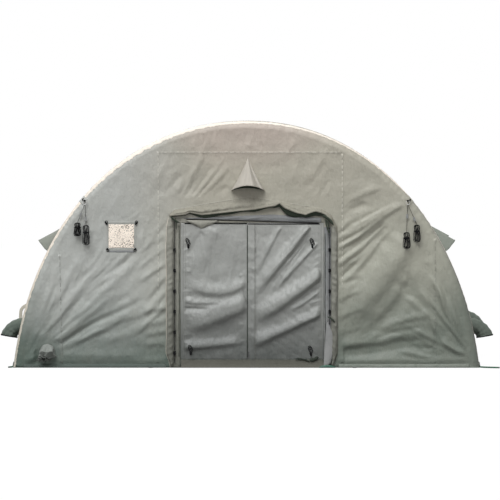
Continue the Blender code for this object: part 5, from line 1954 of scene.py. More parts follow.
@dataclass
class RainFlap(Dresser):
    """Flap over the door: it leaves its gable seam, swells out and ends in a rolled hem."""

    wardrobe: Wardrobe
    wall: EndWall
    seam: tuple = ((-0.93, 1.848), (-0.86, 1.905), (-0.42, 1.982), (0.04, 2.055), (0.45, 1.99),
        (0.9, 1.915), (1.02, 1.84), (1.09, 1.7))
    hem: tuple = ((-0.93, 1.826), (-0.87, 1.838), (-0.73, 1.852), (-0.684, 1.876), (-0.53, 1.845),
        (-0.38, 1.86), (-0.171, 1.882), (0.1, 1.912), (0.341, 1.954), (0.398, 1.985), (0.47, 1.925),
        (0.6, 1.87), (0.711, 1.846), (0.77, 1.87), (0.826, 1.888), (0.9, 1.872), (0.955, 1.845),
        (1.02, 1.745), (1.06, 1.66), (1.09, 1.625))

    def lines(self, x: Array) -> tuple[Array, Array]:
        """Heights of the seam and the hem at places across the door."""
        return np.interp(x, *np.transpose(self.seam)), np.interp(x, *np.transpose(self.hem))

    def build(self) -> None:
        """Make the flap, its rolled hem and the threads along its seam."""
        x = spaced([-0.93, 0.398, 1.09], 0.011)
        high, low = self.lines(x)
        down = np.linspace(0, 1, 26)[:, None]
        swell = 0.0046 + 0.05 * np.sin(down * PI / 2) ** 1.3
        swell = swell * (1 + 0.3 * ripple(x, down * 0.4, 0.35, 81) * down)
        swell = swell + 0.005 * ripple(x, down * 0.25, 0.11, 82) * np.sin(PI * down)
        swell = swell * (0.2 + 0.8 * ease((x + 0.94) / 0.12) * ease((1.11 - x) / 0.1))
        z = high - (high - low) * down
        grid = coords(x, FRONT - swell, z)
        flap = cloth("rain_flap_cloth", grid[::-1], 0.003)
        self.dress(flap, Look.FLAP, "rain_flap")
        hem = coords(x, FRONT - swell[-1] + 0.004, low - 0.004)
        size = 0.0105 + 0.003 * ripple(x, 0, 0.25, 83)
        self.dress(tube("rain_flap_hem", hem[1:-1], size[1:-1], 12), Look.FLAP)
        # dark strip under the hem: painted shade
        self.lining(x, low, swell[-1])
        out = -Y_WAY
        seam = coords(x, FRONT - 0.0062, high - 0.006)
        tape = ribbon("rain_flap_seam", seam + [0, 0.003, 0], Z_WAY, out, 0.016, 0.0045)
        self.dress(tape, Look.WALL)
        self.dress(stitches("rain_flap_thread", [seam + [0, -0.0018, 0]], out, 0.018, 0.004),
            Look.SHADE_THREAD)

    def lining(self, x: Array, low: Array, stand: Array) -> None:
        """Painted shade under the flap's curled hem, as a dark strip hung below it: its drop is 1 cm,
        with three wider places of the form exp(-((x - m) / w)^2).

        Args:
            x: places across the door.
            low: height of the hem at each.
            stand: how far the hem stands out at each.
        """
        drop = 0.026 + 0.012 * ripple(x, 0, 0.3, 84)
        for middle, width, more in ((-0.46, 0.16, 0.02), (0.5, 0.13, 0.05), (0.78, 0.1, 0.034)):
            drop = drop + more * bell(x, width, middle)
        down = np.linspace(0, 1, 7)[:, None]
        z = low - 0.004 - drop * down
        y = FRONT - np.maximum(stand * (0.95 - 0.55 * down), 0.0045)
        grid = coords(x, y, z)[:, 2:-14]
        lining = self.dress(cloth("rain_flap_hem_shade", grid[::-1], 0.002), Look.DARK)


@dataclass
class Doorway(Dresser):
    """Everything about the door: sill, head, jambs, flap, leaves and their small fittings."""

    wardrobe: Wardrobe
    wall: EndWall

    def sill(self) -> None:
        """Beige sill flap: a rolled profile carried across the door."""
        x = np.linspace(-0.786, 0.926, 90)
        profile = np.array([(0.0, 0.0), (0.055, 0.0), (0.054, 0.008), (0.034, 0.018), (0.018, 0.05),
            (0.01, 0.09), (0.006, 0.0975), (0.0, 0.0975)])
        puff = 1 + 0.22 * ripple(x, 0, 0.5, 91)[:, None] * np.array([0, 0.4, 0.6, 1, 1, 0.6, 0, 0])
        y = WALL_FACE - profile[:, 0] * puff
        z = 0.0012 + profile[:, 1]
        rings = coords(x[:, None], y, z)
        self.dress(loft("door_sill_flap", rings), Look.SILL, "door_sill")
        out = np.array([0, -1.0, 0.1])
        row = coords(x, WALL_FACE - 0.0115, 0.092)
        self.dress(stitches("door_sill_thread", [row], out, 0.014, 0.004), Look.SHADE_THREAD)

    def head(self) -> None:
        """Pale head strip: cloth between a straight lower edge and a bent upper one, with a black tape below
        it as painted shade.
        """
        x = np.linspace(-0.75, 0.9, 110)
        low = np.interp(x, (-0.75, 0.9), (1.79, 1.745))
        high = np.interp(x, (-0.75, 0.32, 0.9), (1.798, 1.84, 1.8))
        share = np.linspace(0, 1, 9)[:, None]
        z = low + (high - low) * share
        swell = 0.006 + 0.01 * np.sin(PI * share) * (1 + 0.5 * ripple(x, share, 0.4, 93))
        grid = coords(x, WALL_FACE - swell, z)
        strip = self.dress(cloth("door_head_strip", grid, 0.004), Look.PALE, "head_strip")
        under = coords(x[2:-2], WALL_FACE - 0.001, low[2:-2] - 0.008)
        tape = ribbon("door_head_shade", under, Z_WAY, -Y_WAY, 0.009, 0.003)
        self.dress(tape, Look.CORD)

    def turned_corner(self) -> None:
        """Dark folded corner of lining at the head of the left leaf: a bent triangle."""
        u, v = np.meshgrid(np.linspace(0, 1, 24), np.linspace(0, 1, 16))
        x = -0.72 + 0.37 * u + 0.02 * v
        z = 1.775 - 0.1 * v * (1 - np.abs(u - 0.45) * 1.6) - 0.006 * u
        y = WALL_FACE - 0.01 - 0.02 * np.sin(PI * v) * (1 - 0.5 * u)
        grid = coords(x, y, z)[::-1]
        self.dress(cloth("door_turned_corner", grid, 0.003), Look.EDGE)

    def tuck(self, name: str, start: tuple[float, float], end: tuple[float, float], bow: float,
             width: float, stand: float) -> None:
        """A short dark fold of shaded cloth: a flattened roll, thick in the middle, along a bow.

        Args:
            name: name of the piece.
            start: (x, z) of one end.
            end: (x, z) of the other end.
            bow: how far its middle lies aside.
            width: its greatest width.
            stand: distance of its middle from the wall.
        """
        share = np.linspace(0, 1, 26)
        line = np.outer(1 - share, start) + np.outer(share, end)
        way = np.array(end) - np.array(start)
        aside = unit(np.array([-way[1], way[0]]))
        line = line + aside * (bow * np.sin(PI * share))[:, None]
        size = width * (0.12 + 0.88 * np.sin(PI * share) ** 0.7) * (1 + 0.2 * np.sin(9 * share))
        t = circle(14)
        flat = line[:, None] + aside * (size[:, None] / 2 * np.cos(t))[..., None]
        y = WALL_FACE - stand - 0.01 * np.sin(t)
        rings = coords(flat[..., 0], y, flat[..., 1])
        self.dress(loft(name, rings), Look.DARK)

    def tucks(self) -> None:
        """Folds painted dark as shade: at the top of both jambs, across the right jamb and by its foot."""
        self.tuck("jamb_tuck_right_1", (0.905, 1.835), (1.045, 1.715), 0.018, 0.038, 0.052)
        self.tuck("jamb_tuck_right_2", (0.95, 1.8), (1.005, 1.6), -0.012, 0.02, 0.05)
        self.tuck("jamb_tuck_right_3", (0.968, 1.775), (0.99, 1.66), 0.006, 0.02, 0.048)
        self.tuck("jamb_tuck_right_4", (0.972, 0.615), (1.062, 0.545), 0.01, 0.024, 0.052)
        self.tuck("jamb_tuck_left_1", (-0.905, 1.815), (-0.8, 1.745), -0.012, 0.026, 0.05)
        self.tuck("jamb_tuck_left_2", (-0.85, 1.8), (-0.842, 1.66), 0.006, 0.014, 0.048)
        self.tuck("leaf_foot_tuck_1", (0.59, 0.112), (0.76, 0.078), 0.01, 0.018, 0.022)
        self.tuck("leaf_foot_tuck_2", (0.76, 0.088), (0.865, 0.132), -0.008, 0.046, 0.022)

    def floor_tongue(self) -> None:
        """Rolled end of the groundsheet on the ground by the right jamb: a tapering roll."""
        share = np.linspace(0, 1, 24)
        size = 0.003 + 0.015 * np.sin(PI * np.clip(share * 0.92 + 0.03, 0, 1)) ** 0.8
        path = coords(0.87 + 0.2 * share, WALL_FACE - 0.075 + 0.01 * share, size + 0.0004)
        self.dress(tube("floor_tongue", path, size, 14), Look.TONGUE)

    def loose_flap(self) -> None:
        """Pale loose tail of the right jamb."""
        u, v = np.meshgrid(np.linspace(0, 1, 12), np.linspace(0, 1, 30))
        left = np.interp(v, (0, 0.1, 0.45, 1), (0.975, 0.955, 0.945, 0.925))
        right = np.interp(v, (0, 0.25, 0.55, 0.9, 1), (0.985, 1.035, 1.055, 1.015, 0.975))
        x = left + (right - left) * u
        z = 0.55 - 0.535 * v
        y = WALL_FACE - 0.02 - 0.03 * v - 0.012 * np.sin(PI * u) - 0.004 * np.sin(9 * v)
        grid = coords(x, y, z)[::-1]
        tail = self.dress(cloth("jamb_loose_tail", grid, 0.003), Look.PALE)

    def build(self) -> None:
        """Make all of it."""
        self.sill()
        self.head()
        self.turned_corner()
        Jamb(-1, self.wardrobe, DOOR[0], 1.8).build()
        Jamb(1, self.wardrobe, DOOR[1], 1.7, roll_width=0.08).build()
        RainFlap(self.wardrobe, self.wall).build()
        left = DoorLeaf(-1, self.wardrobe, DOOR[0] + HINGE_GAP, 0.0116, Body.DOOR_LEFT, left_leaf_folds())
        left.build()
        left.toggle("leaf_toggle_upper_left", -0.7, 1.53)
        left.toggle("leaf_toggle_lower_left", -0.67, 0.25)
        right = DoorLeaf(1, self.wardrobe, DOOR[1] - HINGE_GAP, 0.0131, Body.DOOR_RIGHT, right_leaf_folds(),
                         seed=19)
        right.build()
        right.toggle("leaf_toggle_upper_right", 0.79, 1.53)
        right.toggle("leaf_toggle_lower_right", 0.77, 0.24)
        self.overlap(right)
        self.loose_flap()
        self.tucks()
        self.floor_tongue()
        self.wardrobe.dress_node("zip_slider", Look.PLASTIC)

    def overlap(self, leaf: DoorLeaf) -> None:
        """Overlap strip along the meeting edge of the right leaf.

        Args:
            leaf: the right leaf.
        """
        x, z = np.meshgrid(np.linspace(leaf.meeting, leaf.meeting + 0.105, 14),
            np.linspace(leaf.low + 0.002, leaf.high - 0.002, 172))
        grid = leaf.on_leaf(x, z, 0.0012)
        strip = self.dress(cloth("door_overlap_strip", grid, 0.001), Look.LEAF, body=leaf.body)
        z = np.linspace(leaf.low + 0.03, leaf.high - 0.03, 120)
        x = np.full_like(z, leaf.meeting - 0.0008)
        line = coords(x, FRONT - 0.0075 - leaf.relief(x, z), z)
        self.dress(tube("door_zip_coil", line, 0.0042, 8), Look.DARK, body=leaf.body)


# Window


@dataclass
class WindowUnit(Dresser):
    """Speckled panel with a welt round it, a toggle at each corner and a pale strip below."""

    wardrobe: Wardrobe
    wall: EndWall
    x: float = -1.5
    z: float = 1.58
    width: float = 0.31
    height: float = 0.29

    def build(self) -> None:
        """Make the panel, the welt, the toggles and the strip."""
        u, v = np.meshgrid(np.linspace(-0.5, 0.5, 40), np.linspace(-0.5, 0.5, 38))
        draw = 1 - 0.02 * np.cos(PI * u) ** 2 * (np.abs(v) > 0.45)
        bulge = 0.004 + 0.004 * np.cos(PI * u) * np.cos(PI * v) + 0.0012 * ripple(u, v, 0.5, 101)
        grid = coords(self.x + u * self.width * 0.99, WALL_FACE - bulge,
            self.z + v * self.height * 0.985 * draw)
        panel = cloth("window_sheet", grid, 0.003)
        self.dress(panel, Look.PANEL, "window_panel", body=Body.WINDOW)
        out = -Y_WAY
        wide, tall = self.width / 2 + 0.016, self.height / 2 + 0.016
        corners = [(-wide, -tall), (wide, -tall), (wide, tall), (-wide, tall)]
        edges, names = [], ("below", "right", "above", "left")
        for name, start, end in zip(names, corners, corners[1:] + corners[:1]):
            line = np.linspace(start, end, 24)
            path = coords(self.x + line[:, 0], WALL_FACE, self.z + line[:, 1])
            across = Z_WAY if start[1] == end[1] else X_WAY
            tape = ribbon(f"window_welt_{name}", path, across, out, 0.029, 0.0028)
            self.dress(tape, Look.WALL, *(["window_frame"] if name == "above" else []))
            edges.append(path + out * 0.003)
        self.dress(stitches("window_thread", edges, out, 0.013, 0.0035), Look.SHADE_THREAD)
        line = np.linspace(-0.15, 0.15, 20)
        path = coords(self.x + line, WALL_FACE - 0.0002, self.z - 0.182)
        self.dress(ribbon("window_strip", path, Z_WAY, out, 0.024, 0.003), Look.PALE)
        for number, (sx, sz) in enumerate(((-1, 1), (1, 1), (-1, -1), (1, -1)), 1):
            aside = self.width / 2 + (0.026 if sz > 0 else 0.01)
            self.toggle(number, self.x + sx * aside, self.z + sz * (self.height / 2 + 0.01), sx, sz)

    def toggle(self, number: int, x: float, z: float, sx: int, sz: int) -> None:
        """A small toggle through a cord loop at a corner of the welt.

        Args:
            number: number of the corner.
            x: place across the wall.
            z: place up the wall.
            sx: -1 on the left, 1 on the right.
            sz: -1 below, 1 above.
        """
        lean = unit(np.array([0.55 * sx, 0, 0.83 if sz > 0 else 0.6]))
        at = np.array([x, WALL_FACE - 0.012, z])
        reach = 0.024 if sz > 0 else 0.014
        path = np.linspace(at - lean * reach, at + lean * reach, 9)
        size = 0.006 + 0.004 * np.sin(np.linspace(0, PI, 9)) ** 0.5
        self.dress(tube(f"window_toggle_{number}", path, size, 10), Look.CORD)
        turn = np.linspace(0, TAU, 17)
        loop = coords(x + 0.016 * np.sin(turn), at[1] + 0.004, z + sz * 0.012 + 0.018 * np.cos(turn))
        self.dress(tube(f"window_loop_{number}", loop, 0.0028, 8), Look.CORD)


# Vents and ducts


@dataclass
class VentHood(Dresser):
    """Half cone of cloth on a wall: taper t, width t cos a, stand t sin a, lip lifted by sin a^2."""

    name: str
    node: str
    wardrobe: Wardrobe
    base: Array
    across: Array
    up: Array
    out: Array
    depth: float
    width: float = 0.4
    height: float = 0.42
    lift: float = 0.06
    finish: Look = Look.HOOD
    ridge: float = 0.0

    def surface(self, rise: Array, turn: Array) -> Array:
        """Points of the outer face.

        Args:
            rise: share of the height, from the lip to the point.
            turn: angle round the cone, from pi on the left to 0 on the right.

        Returns:
            Points.
        """
        base, across, up, out = (np.asarray(v, float) for v in (self.base, self.across, self.up, self.out))
        taper = np.maximum((1 - rise) ** 1.22, 0.015)
        crease = 0.16 * np.sin(3 * turn + 1.1) * np.sin(PI * rise) ** 0.7
        crease = crease + 0.05 * np.sin(7 * turn) * (1 - rise)
        crease = crease + self.ridge * bell(turn, 0.22, 1.3)
        crease = crease - 0.7 * self.ridge * bell(turn, 0.2, 0.85)
        wide = self.width / 2 * taper * np.cos(turn)
        stand = self.depth * taper * np.sin(turn) * (1 + crease) + 0.002
        lift = self.lift * taper * np.sin(turn) ** 2
        level = self.height * rise * 0.985 + lift
        return base + across * wide[..., None] + out * stand[..., None] + up * level[..., None]

    def build(self, seat: CoverShell | None = None, side: int = 1) -> None:
        """Make the hood and its rolled lip.

        Args:
            seat: the cover, where the hood stands on a side wall.
            side: side of the tent that it stands on.
        """
        turn = np.linspace(PI, 0, 45)
        rise = np.linspace(0, 1, 30)
        turns, rises = np.meshgrid(turn, rise)
        grid = self.surface(rises, turns)
        if seat is not None:
            for column in (0, -1):
                grid[:, column] = seat.face_at(side, grid[:, column, 2], grid[:, column, 1], 0.002)
        hood = cloth(self.name, grid, 0.003)
        self.dress(hood, self.finish, self.node)
        lip = grid[0, 1:-1]
        self.dress(tube(f"{self.name}_lip", lip, 0.0045, 8), self.finish)


@dataclass
class DuctSleeve(Dresser):
    """Cloth duct that leaves a wall squarely and droops, gathered towards its mouth."""

    name: str
    node: str
    wardrobe: Wardrobe
    root: Array
    out: Array
    reach: float
    drop: float
    bend: float = 80.0
    radius: float = 0.1
    finish: Look = Look.SLEEVE
    crumple: float = 0.05
    neck: float = 0.0
    pull: tuple[float, float, float] = (0.0, 0.0, 0.0)

    def drawn_end(self, ring: Array) -> Array:
        """Rings of a mouth drawn in: size 1 - neck sin 120 s, pleated by cos 7 t, on the way to the pull.

        Args:
            ring: last ring of the sleeve.

        Returns:
            Rings that go on from it.
        """
        share = np.linspace(0, 1, 17)[1:, None, None]
        turn = circle(len(ring))[:, None]
        size = 1 - self.neck * np.sin(share * PI / 1.5) ** 0.8
        size = size * (1 + 0.24 * share ** 0.6 * np.cos(7 * turn + 1.5 * share))
        middle = ring.mean(0)
        return middle + (ring - middle) * size + np.asarray(self.pull) * share

    def rings(self) -> Array:
        """Rings round the middle line: root + out (reach sin a - ...) - up drop (1 - cos a).

        Returns:
            Rings by points.
        """
        root = np.asarray(self.root, float)
        out = unit(np.asarray(self.out, float))
        across = unit(np.cross(out, Z_WAY))
        share = np.linspace(0, 1, 34)[:, None]
        angle = np.radians(self.bend) * share
        middle = root + out * (self.reach * np.sin(angle) - 0.02 * (1 - share))
        middle = middle - Z_WAY * self.drop * (1 - np.cos(angle))
        ahead = unit(out * self.reach * np.cos(angle) - Z_WAY * self.drop * np.sin(angle))
        over = np.cross(across, ahead)
        turn = circle(56)
        size = self.radius * (1 - 0.12 * np.sin(PI * share))
        fine = 0.03 * np.sin(11 * turn + 9 * share) * share
        size = size * (1 + self.crumple * share * np.cos(5 * turn + 2 * share) + fine)
        size = size * (1 + 0.025 * np.sin(TAU * share * 5 + 1.3 * np.cos(turn)))
        swing = np.cos(turn)[..., None] * across + np.sin(turn)[..., None] * over[:, None]
        rings = middle[:, None] + size[..., None] * swing
        return np.concatenate([rings, self.drawn_end(rings[-1])]) if self.neck else rings

    def build(self) -> None:
        """Make the sleeve and its drawcord."""
        rings = self.rings()
        sleeve = loft(self.name, rings[:, ::-1], hollow=0.003)
        self.dress(sleeve, self.finish, self.node)
        hem = rings[-5] if self.neck else rings[-2]
        middle = hem.mean(0)
        path = middle + (hem - middle) * 1.04
        path = np.concatenate([path, path[:3]])
        self.dress(tube(f"{self.name}_drawcord", path, 0.0045, 8), Look.CORD)


# Guy lines, hanks and ropes


@dataclass
class GuyLine(Dresser):
    """One guy line: it hangs from its ring through a runner and is put up in a hank."""

    number: int
    wardrobe: Wardrobe
    start: Array
    drop: tuple[float, float]
    hank: tuple[float, float]
    length: float = 4.5
    radius: float = 0.0025
    pitch: float = 0.006
    waist: float = 0.36
    turn_points: int = 26

    def loops(self, top: Array, turns: float) -> Array:
        """Loops in front of each other, with straight sides and half circles at their ends.

        Each turn goes down one side, round the end and up the other side at an even pace. The
        sides are drawn in at the waist, turns sway sideways, and y goes out by a pitch a turn.

        Args:
            top: point where the loops start.
            turns: number of loops.

        Returns:
            Points of the loops.
        """
        width, height = self.hank
        t = np.linspace(0, turns, int(turns * self.turn_points))
        side, arc = height - width, PI * width / 2
        s = (t % 1) * 2 * (side + arc)
        bend = np.clip((s - side) / arc, 0, 1) + np.clip((s - 2 * side - arc) / arc, 0, 1)
        down = np.clip(s, 0, side) - np.clip(s - side - arc, 0, side)
        x = width / 2 * np.cos(PI * bend)
        z = -width / 2 - down - width / 2 * np.sin(PI * bend)
        share = -z / height
        x = x * (1 - 0.35 * bell(share, 0.16, self.waist)) * ease(t / 0.25)
        x = x + 0.021 * np.sin(TAU * t / 3.7) * (0.55 + 0.45 * share) * np.minimum(t, 1)
        z = z * (1 - 0.05 * (1 - np.cos(TAU * t / 5.3)))
        return coords(top[0] + x, top[1] - self.pitch * t, top[2] + z)

    def build(self) -> None:
        """Make the line with its hank, and the band round the waist."""
        start = np.asarray(self.start, float)
        end = start + [self.drop[0], 0, -self.drop[1]]
        line = np.linspace(start, end, 14)
        low, high = 1.0, 24.0
        for _ in range(30):
            turns = (low + high) / 2
            path = np.concatenate([line, self.loops(end, turns)])
            low, high = (turns, high) if run_of(path)[-1] < self.length else (low, turns)
        cord = cord_curve(f"guy_cord_{self.number}", path, self.radius)
        names = [f"guy_line_{self.number}", f"guy_hank_{self.number}"]
        self.dress(cord, Look.CORD, *names)
        loops = self.loops(end, turns)
        level = end[2] - self.hank[1] * self.waist
        near = loops[np.abs(loops[:, 2] - level) < self.hank[1] * 0.08]
        centre = (near.min(0) + near.max(0)) / 2
        half = (near.max(0) - near.min(0)) / 2 + 0.0048
        t = np.linspace(0, TAU * 3, 90)
        band = coords(centre[0] + half[0] * np.cos(t), centre[1] + half[1] * np.sin(t),
            level - 0.008 + 0.0055 * t / TAU)
        tie = tube(f"guy_band_{self.number}", band, 0.0024, 8)
        self.dress(tie, Look.CORD)
        self.wardrobe.dress_node(f"guy_runner_{self.number}", Look.RUNNER)


@dataclass
class GuyAnchor(Dresser):
    """Webbing patch on the rim with a steel ring in a webbing loop."""

    side: int
    wardrobe: Wardrobe
    section: TunnelSection
    foot: tuple[float, float, float]
    ring: float = 0.022
    wire: float = 0.003
    level: float = 2.03
    half: float = 0.045         # half the patch's width
    stand: float = 0.0062       # height of its face over the rim

    def build(self) -> None:
        """Make the patch, laid on the rim, the loop and the ring."""
        share = self.section.share_at(self.side, self.level)
        step = self.half / self.section.length
        u, v = np.meshgrid(np.linspace(-step, step, 14), np.linspace(0.42, 1.35, 14))
        place, _ = self.section.at(share + u, RIM - (RIM + self.stand) * np.sin(v))
        y = FRONT + RIM - (RIM + self.stand) * np.cos(v)
        grid = coords(place[..., 0], y, place[..., 1])
        patch = cloth(f"guy_patch_cloth_{self.word}", grid, 0.003)
        self.dress(patch, Look.WALL, f"guy_patch_{self.word}")
        centre = np.array(self.foot) + [0, 0, self.ring + self.wire]
        turn = circle(40)
        around = circle(12)
        radius = self.ring + self.wire * np.cos(around)
        rings = coords(centre[0] + radius * np.cos(turn)[:, None], centre[1] + self.wire * np.sin(around),
            centre[2] + radius * np.sin(turn)[:, None])
        verts = rings.reshape(-1, 3)
        faces = quads(41, 12, closed=True) % len(verts)
        ring = mesh_piece(f"guy_ring_{self.word}", verts, list(faces))
        self.dress(ring, Look.RING)
        middle = grid[6, 7]
        path = smooth_path(
            [
                middle + [0, 0, 0.015], middle + [0, -0.006, -0.01], centre + [0, -0.006, self.ring + 0.01],
                centre + [0, -0.007, self.ring - 0.003], centre + [0, 0.002, self.ring - 0.008],
                centre + [0, 0.008, self.ring + 0.004], middle + [0, 0.004, -0.02],
            ],
            30,
        )
        normal = unit(np.cross(np.gradient(path, axis=0), X_WAY))
        self.dress(ribbon(f"guy_webbing_{self.word}", path, X_WAY, normal, 0.02, 0.0022), Look.CORD)


@dataclass
class GroundCords(Dresser):
    """Laid green ropes at the front corners and cord loops for pegs at the hem."""

    wardrobe: Wardrobe
    rope: float = 0.01
    peg: float = 0.003

    def rope_piece(self, name: str, node: str, route: list, count: int) -> None:
        """A laid rope along the floor, whipped at its end.

        Args:
            name: name of the piece.
            node: CAD node that it stands for.
            route: chosen points.
            count: a ninth of the number of points along it.
        """
        fine = smooth_path(np.array(route, float), count * 9)
        thing = tube(name, fine, self.rope, 18, lay=0.055)
        self.dress(thing, Look.ROPE, node)
        tip = resampled(fine[-12:], 8)
        cap = tube(f"{name}_whipping", tip, self.rope * 0.96, 12)
        self.dress(cap, Look.PALE)

    def build(self) -> None:
        """Make both ropes and both loops."""
        level = self.rope + 0.0003
        x = HALF_WIDTH + self.rope * 0.88
        right = [(x, -3.14, level), (2.825, -3.22, level), (2.9, -3.33, level), (3.03, -3.45, level)]
        left = [(-x, -3.14, level), (-2.82, -3.2, level), (-2.85, -3.28, level)]
        self.rope_piece("corner_rope_laid_right", "corner_rope_right", right, 24)
        self.rope_piece("corner_rope_laid_left", "corner_rope_left", left, 16)
        for word, loop_x in (("left", -1.15), ("right", 1.3)):
            z = self.peg + 0.0003
            route = [
                (loop_x - 0.018, WALL_FACE - 0.0005, z), (loop_x - 0.024, WALL_FACE - 0.045, z),
                (loop_x, WALL_FACE - 0.085, z), (loop_x + 0.024, WALL_FACE - 0.045, z),
                (loop_x + 0.018, WALL_FACE - 0.0005, z),
            ]
            path = smooth_path(np.array(route), 32)
            loop = cord_curve(f"peg_cord_{word}", path, self.peg)
            self.dress(loop, Look.CORD, f"peg_loop_{word}")


# Air beams, valves, groundsheet and the rear wall


@dataclass
class AirFrame(Dresser):
    """Arch beams and purlins, inflated tight, with the groundsheet and the valves."""

    wardrobe: Wardrobe
    section: TunnelSection
    inset: float = 0.1243
    radius: float = 0.1195
    purlin: float = 0.0695
    purlin_inset: float = 0.0943
    purlin_gap: float = 0.105   # from an arch's middle line to a purlin's end

    def build(self) -> None:
        """Make every beam and the groundsheet, and finish the valve nodes."""
        line = self.section.at(np.linspace(0, 1, 150), self.inset)[0]
        line = line[line[:, 1] > 0.02]
        for number, y in enumerate(ARCH_Y, 1):
            path = coords(line[:, 0], y, line[:, 1])
            path = np.concatenate([[[path[0, 0], y, 0.0075]], path, [[path[-1, 0], y, 0.0075]]])
            puff = self.radius * (1 - 0.004 * (1 + np.sin(run_of(path) / 0.09)))
            beam = tube(f"air_arch_{number}", path, puff, 28)
            self.dress(beam, Look.BEAM, f"arch_beam_{number}")
        for share, (_, word) in zip(PURLIN_SHARES, SIDES):
            place, _ = self.section.at(np.array([share]), self.purlin_inset)
            for bay in range(3):
                y = np.linspace(ARCH_Y[bay] + self.purlin_gap, ARCH_Y[bay + 1] - self.purlin_gap, 24)
                path = coords(place[0, 0], y, place[0, 1])
                swell = self.purlin * (0.93 + 0.07 * np.sin(np.linspace(0.15, PI - 0.15, 24)) ** 0.4)
                beam = tube(f"air_purlin_{word}_{bay + 1}", path, swell, 24)
                self.dress(beam, Look.BEAM, f"purlin_{word}_{bay + 1}")
        self.groundsheet()
        for node in ("inflation_valve", "inflation_valve_cap", "relief_valve", "relief_valve_knob"):
            self.wardrobe.dress_node(node, Look.PLASTIC)

    def groundsheet(self) -> None:
        """Coated sheet under everything, with a welded edge."""
        x = np.linspace(-HALF_WIDTH, HALF_WIDTH, 80)
        welt = [(3.2, 0.0), (3.2, 0.005), (3.19, 0.006)]
        shape = np.array([(-3.2, 0.0), *welt, *[(-y, z) for y, z in welt[:0:-1]]])
        rings = coords(x[:, None], shape[:, 0], shape[:, 1])
        thing = loft("ground_sheet", rings)
        self.dress(thing, Look.FLOOR, "groundsheet")


@dataclass
class RearWall(Dresser):
    """The rear end wall: plain panels, one vent hood and a ground hem."""

    section: TunnelSection
    wardrobe: Wardrobe
    cover: CoverShell

    def build(self) -> None:
        """Make the wall with its seams, folds and hood."""
        folds = fold_rows(
            (-2.7, 0.08, -2.2, 0.6, -1.6, 1.2, 0.06, 0.014, 0.3, 0.02),
            (2.7, 0.08, 2.25, 0.7, 1.75, 1.35, 0.06, 0.014, 0.3, 0.02),
            (-2.68, 0.08, -2.0, 0.4, -1.2, 0.7, 0.06, 0.012, 0.3, 0.02),
            (2.68, 0.08, 2.0, 0.35, 1.2, 0.6, 0.06, 0.012, 0.3, 0.02),
            (-0.9, 0.2, -0.4, 0.9, -0.1, 1.6, 0.1, 0.012),
            (0.9, 0.2, 0.5, 1.0, 0.2, 1.7, 0.1, -0.01),
            (-1.9, 1.9, -1.3, 1.7, -0.8, 1.3, 0.08, 0.01),
            (1.9, 1.9, 1.3, 1.6, 0.9, 1.2, 0.08, 0.01),
        )
        quiet = [(-0.24, 0.24, 2.1, 2.54)]
        wall = EndWall(self.section, self.cover, [round_hole(0.0, VENT[1], VENT_RADIUS)], folds, quiet,
            facing=1, seed=33)
        self.dress(wall.build("rear_end_wall"), Look.WALL, "rear_wall")
        out = Y_WAY
        rows = []
        for name, start, end in (
            ("crown", (-1.06, CROWN_SEAM), (1.06, CROWN_SEAM)),
            ("left", (-1.062, 2.6), (-1.062, 0.03)),
            ("right", (1.062, 2.6), (1.062, 0.03)),
            ("middle", (0.0, 2.04), (0.0, 0.03)),
        ):
            path = wall.on_wall(resampled(np.array([start, end]), 80), 0.0003)
            across = Z_WAY if name == "crown" else X_WAY
            self.dress(ribbon(f"rear_seam_{name}", path, across, out, 0.026, 0.0022), Look.WALL)
            rows.append(path + across * 0.008 + out * 0.0024)
        self.dress(stitches("rear_seam_thread", rows, out, 0.02, 0.005), Look.THREAD)
        base = np.array([0, -FRONT, 2.13])
        VentHood("rear_hood", "rear_vent_hood", self.wardrobe, base, -X_WAY, Z_WAY, Y_WAY, 0.17).build()
        profile = np.array([(0.0, 0.0), (0.022, 0.0), (0.026, 0.012), (0.02, 0.03), (0.011, 0.06),
            (0.006, 0.088), (0.0, 0.092)])
        x = np.linspace(-2.675, 2.675, 160)
        wave = 1 + 0.2 * ripple(x, 0, 0.35, 73)
        y = -FRONT + 0.0003 + profile[:, 0] * wave[:, None]
        z = HEM_FOOT + profile[:, 1]
        rings = coords(x[:, None], y, z)[:, ::-1]
        self.dress(loft("ground_hem_rear", rings), Look.EDGE)


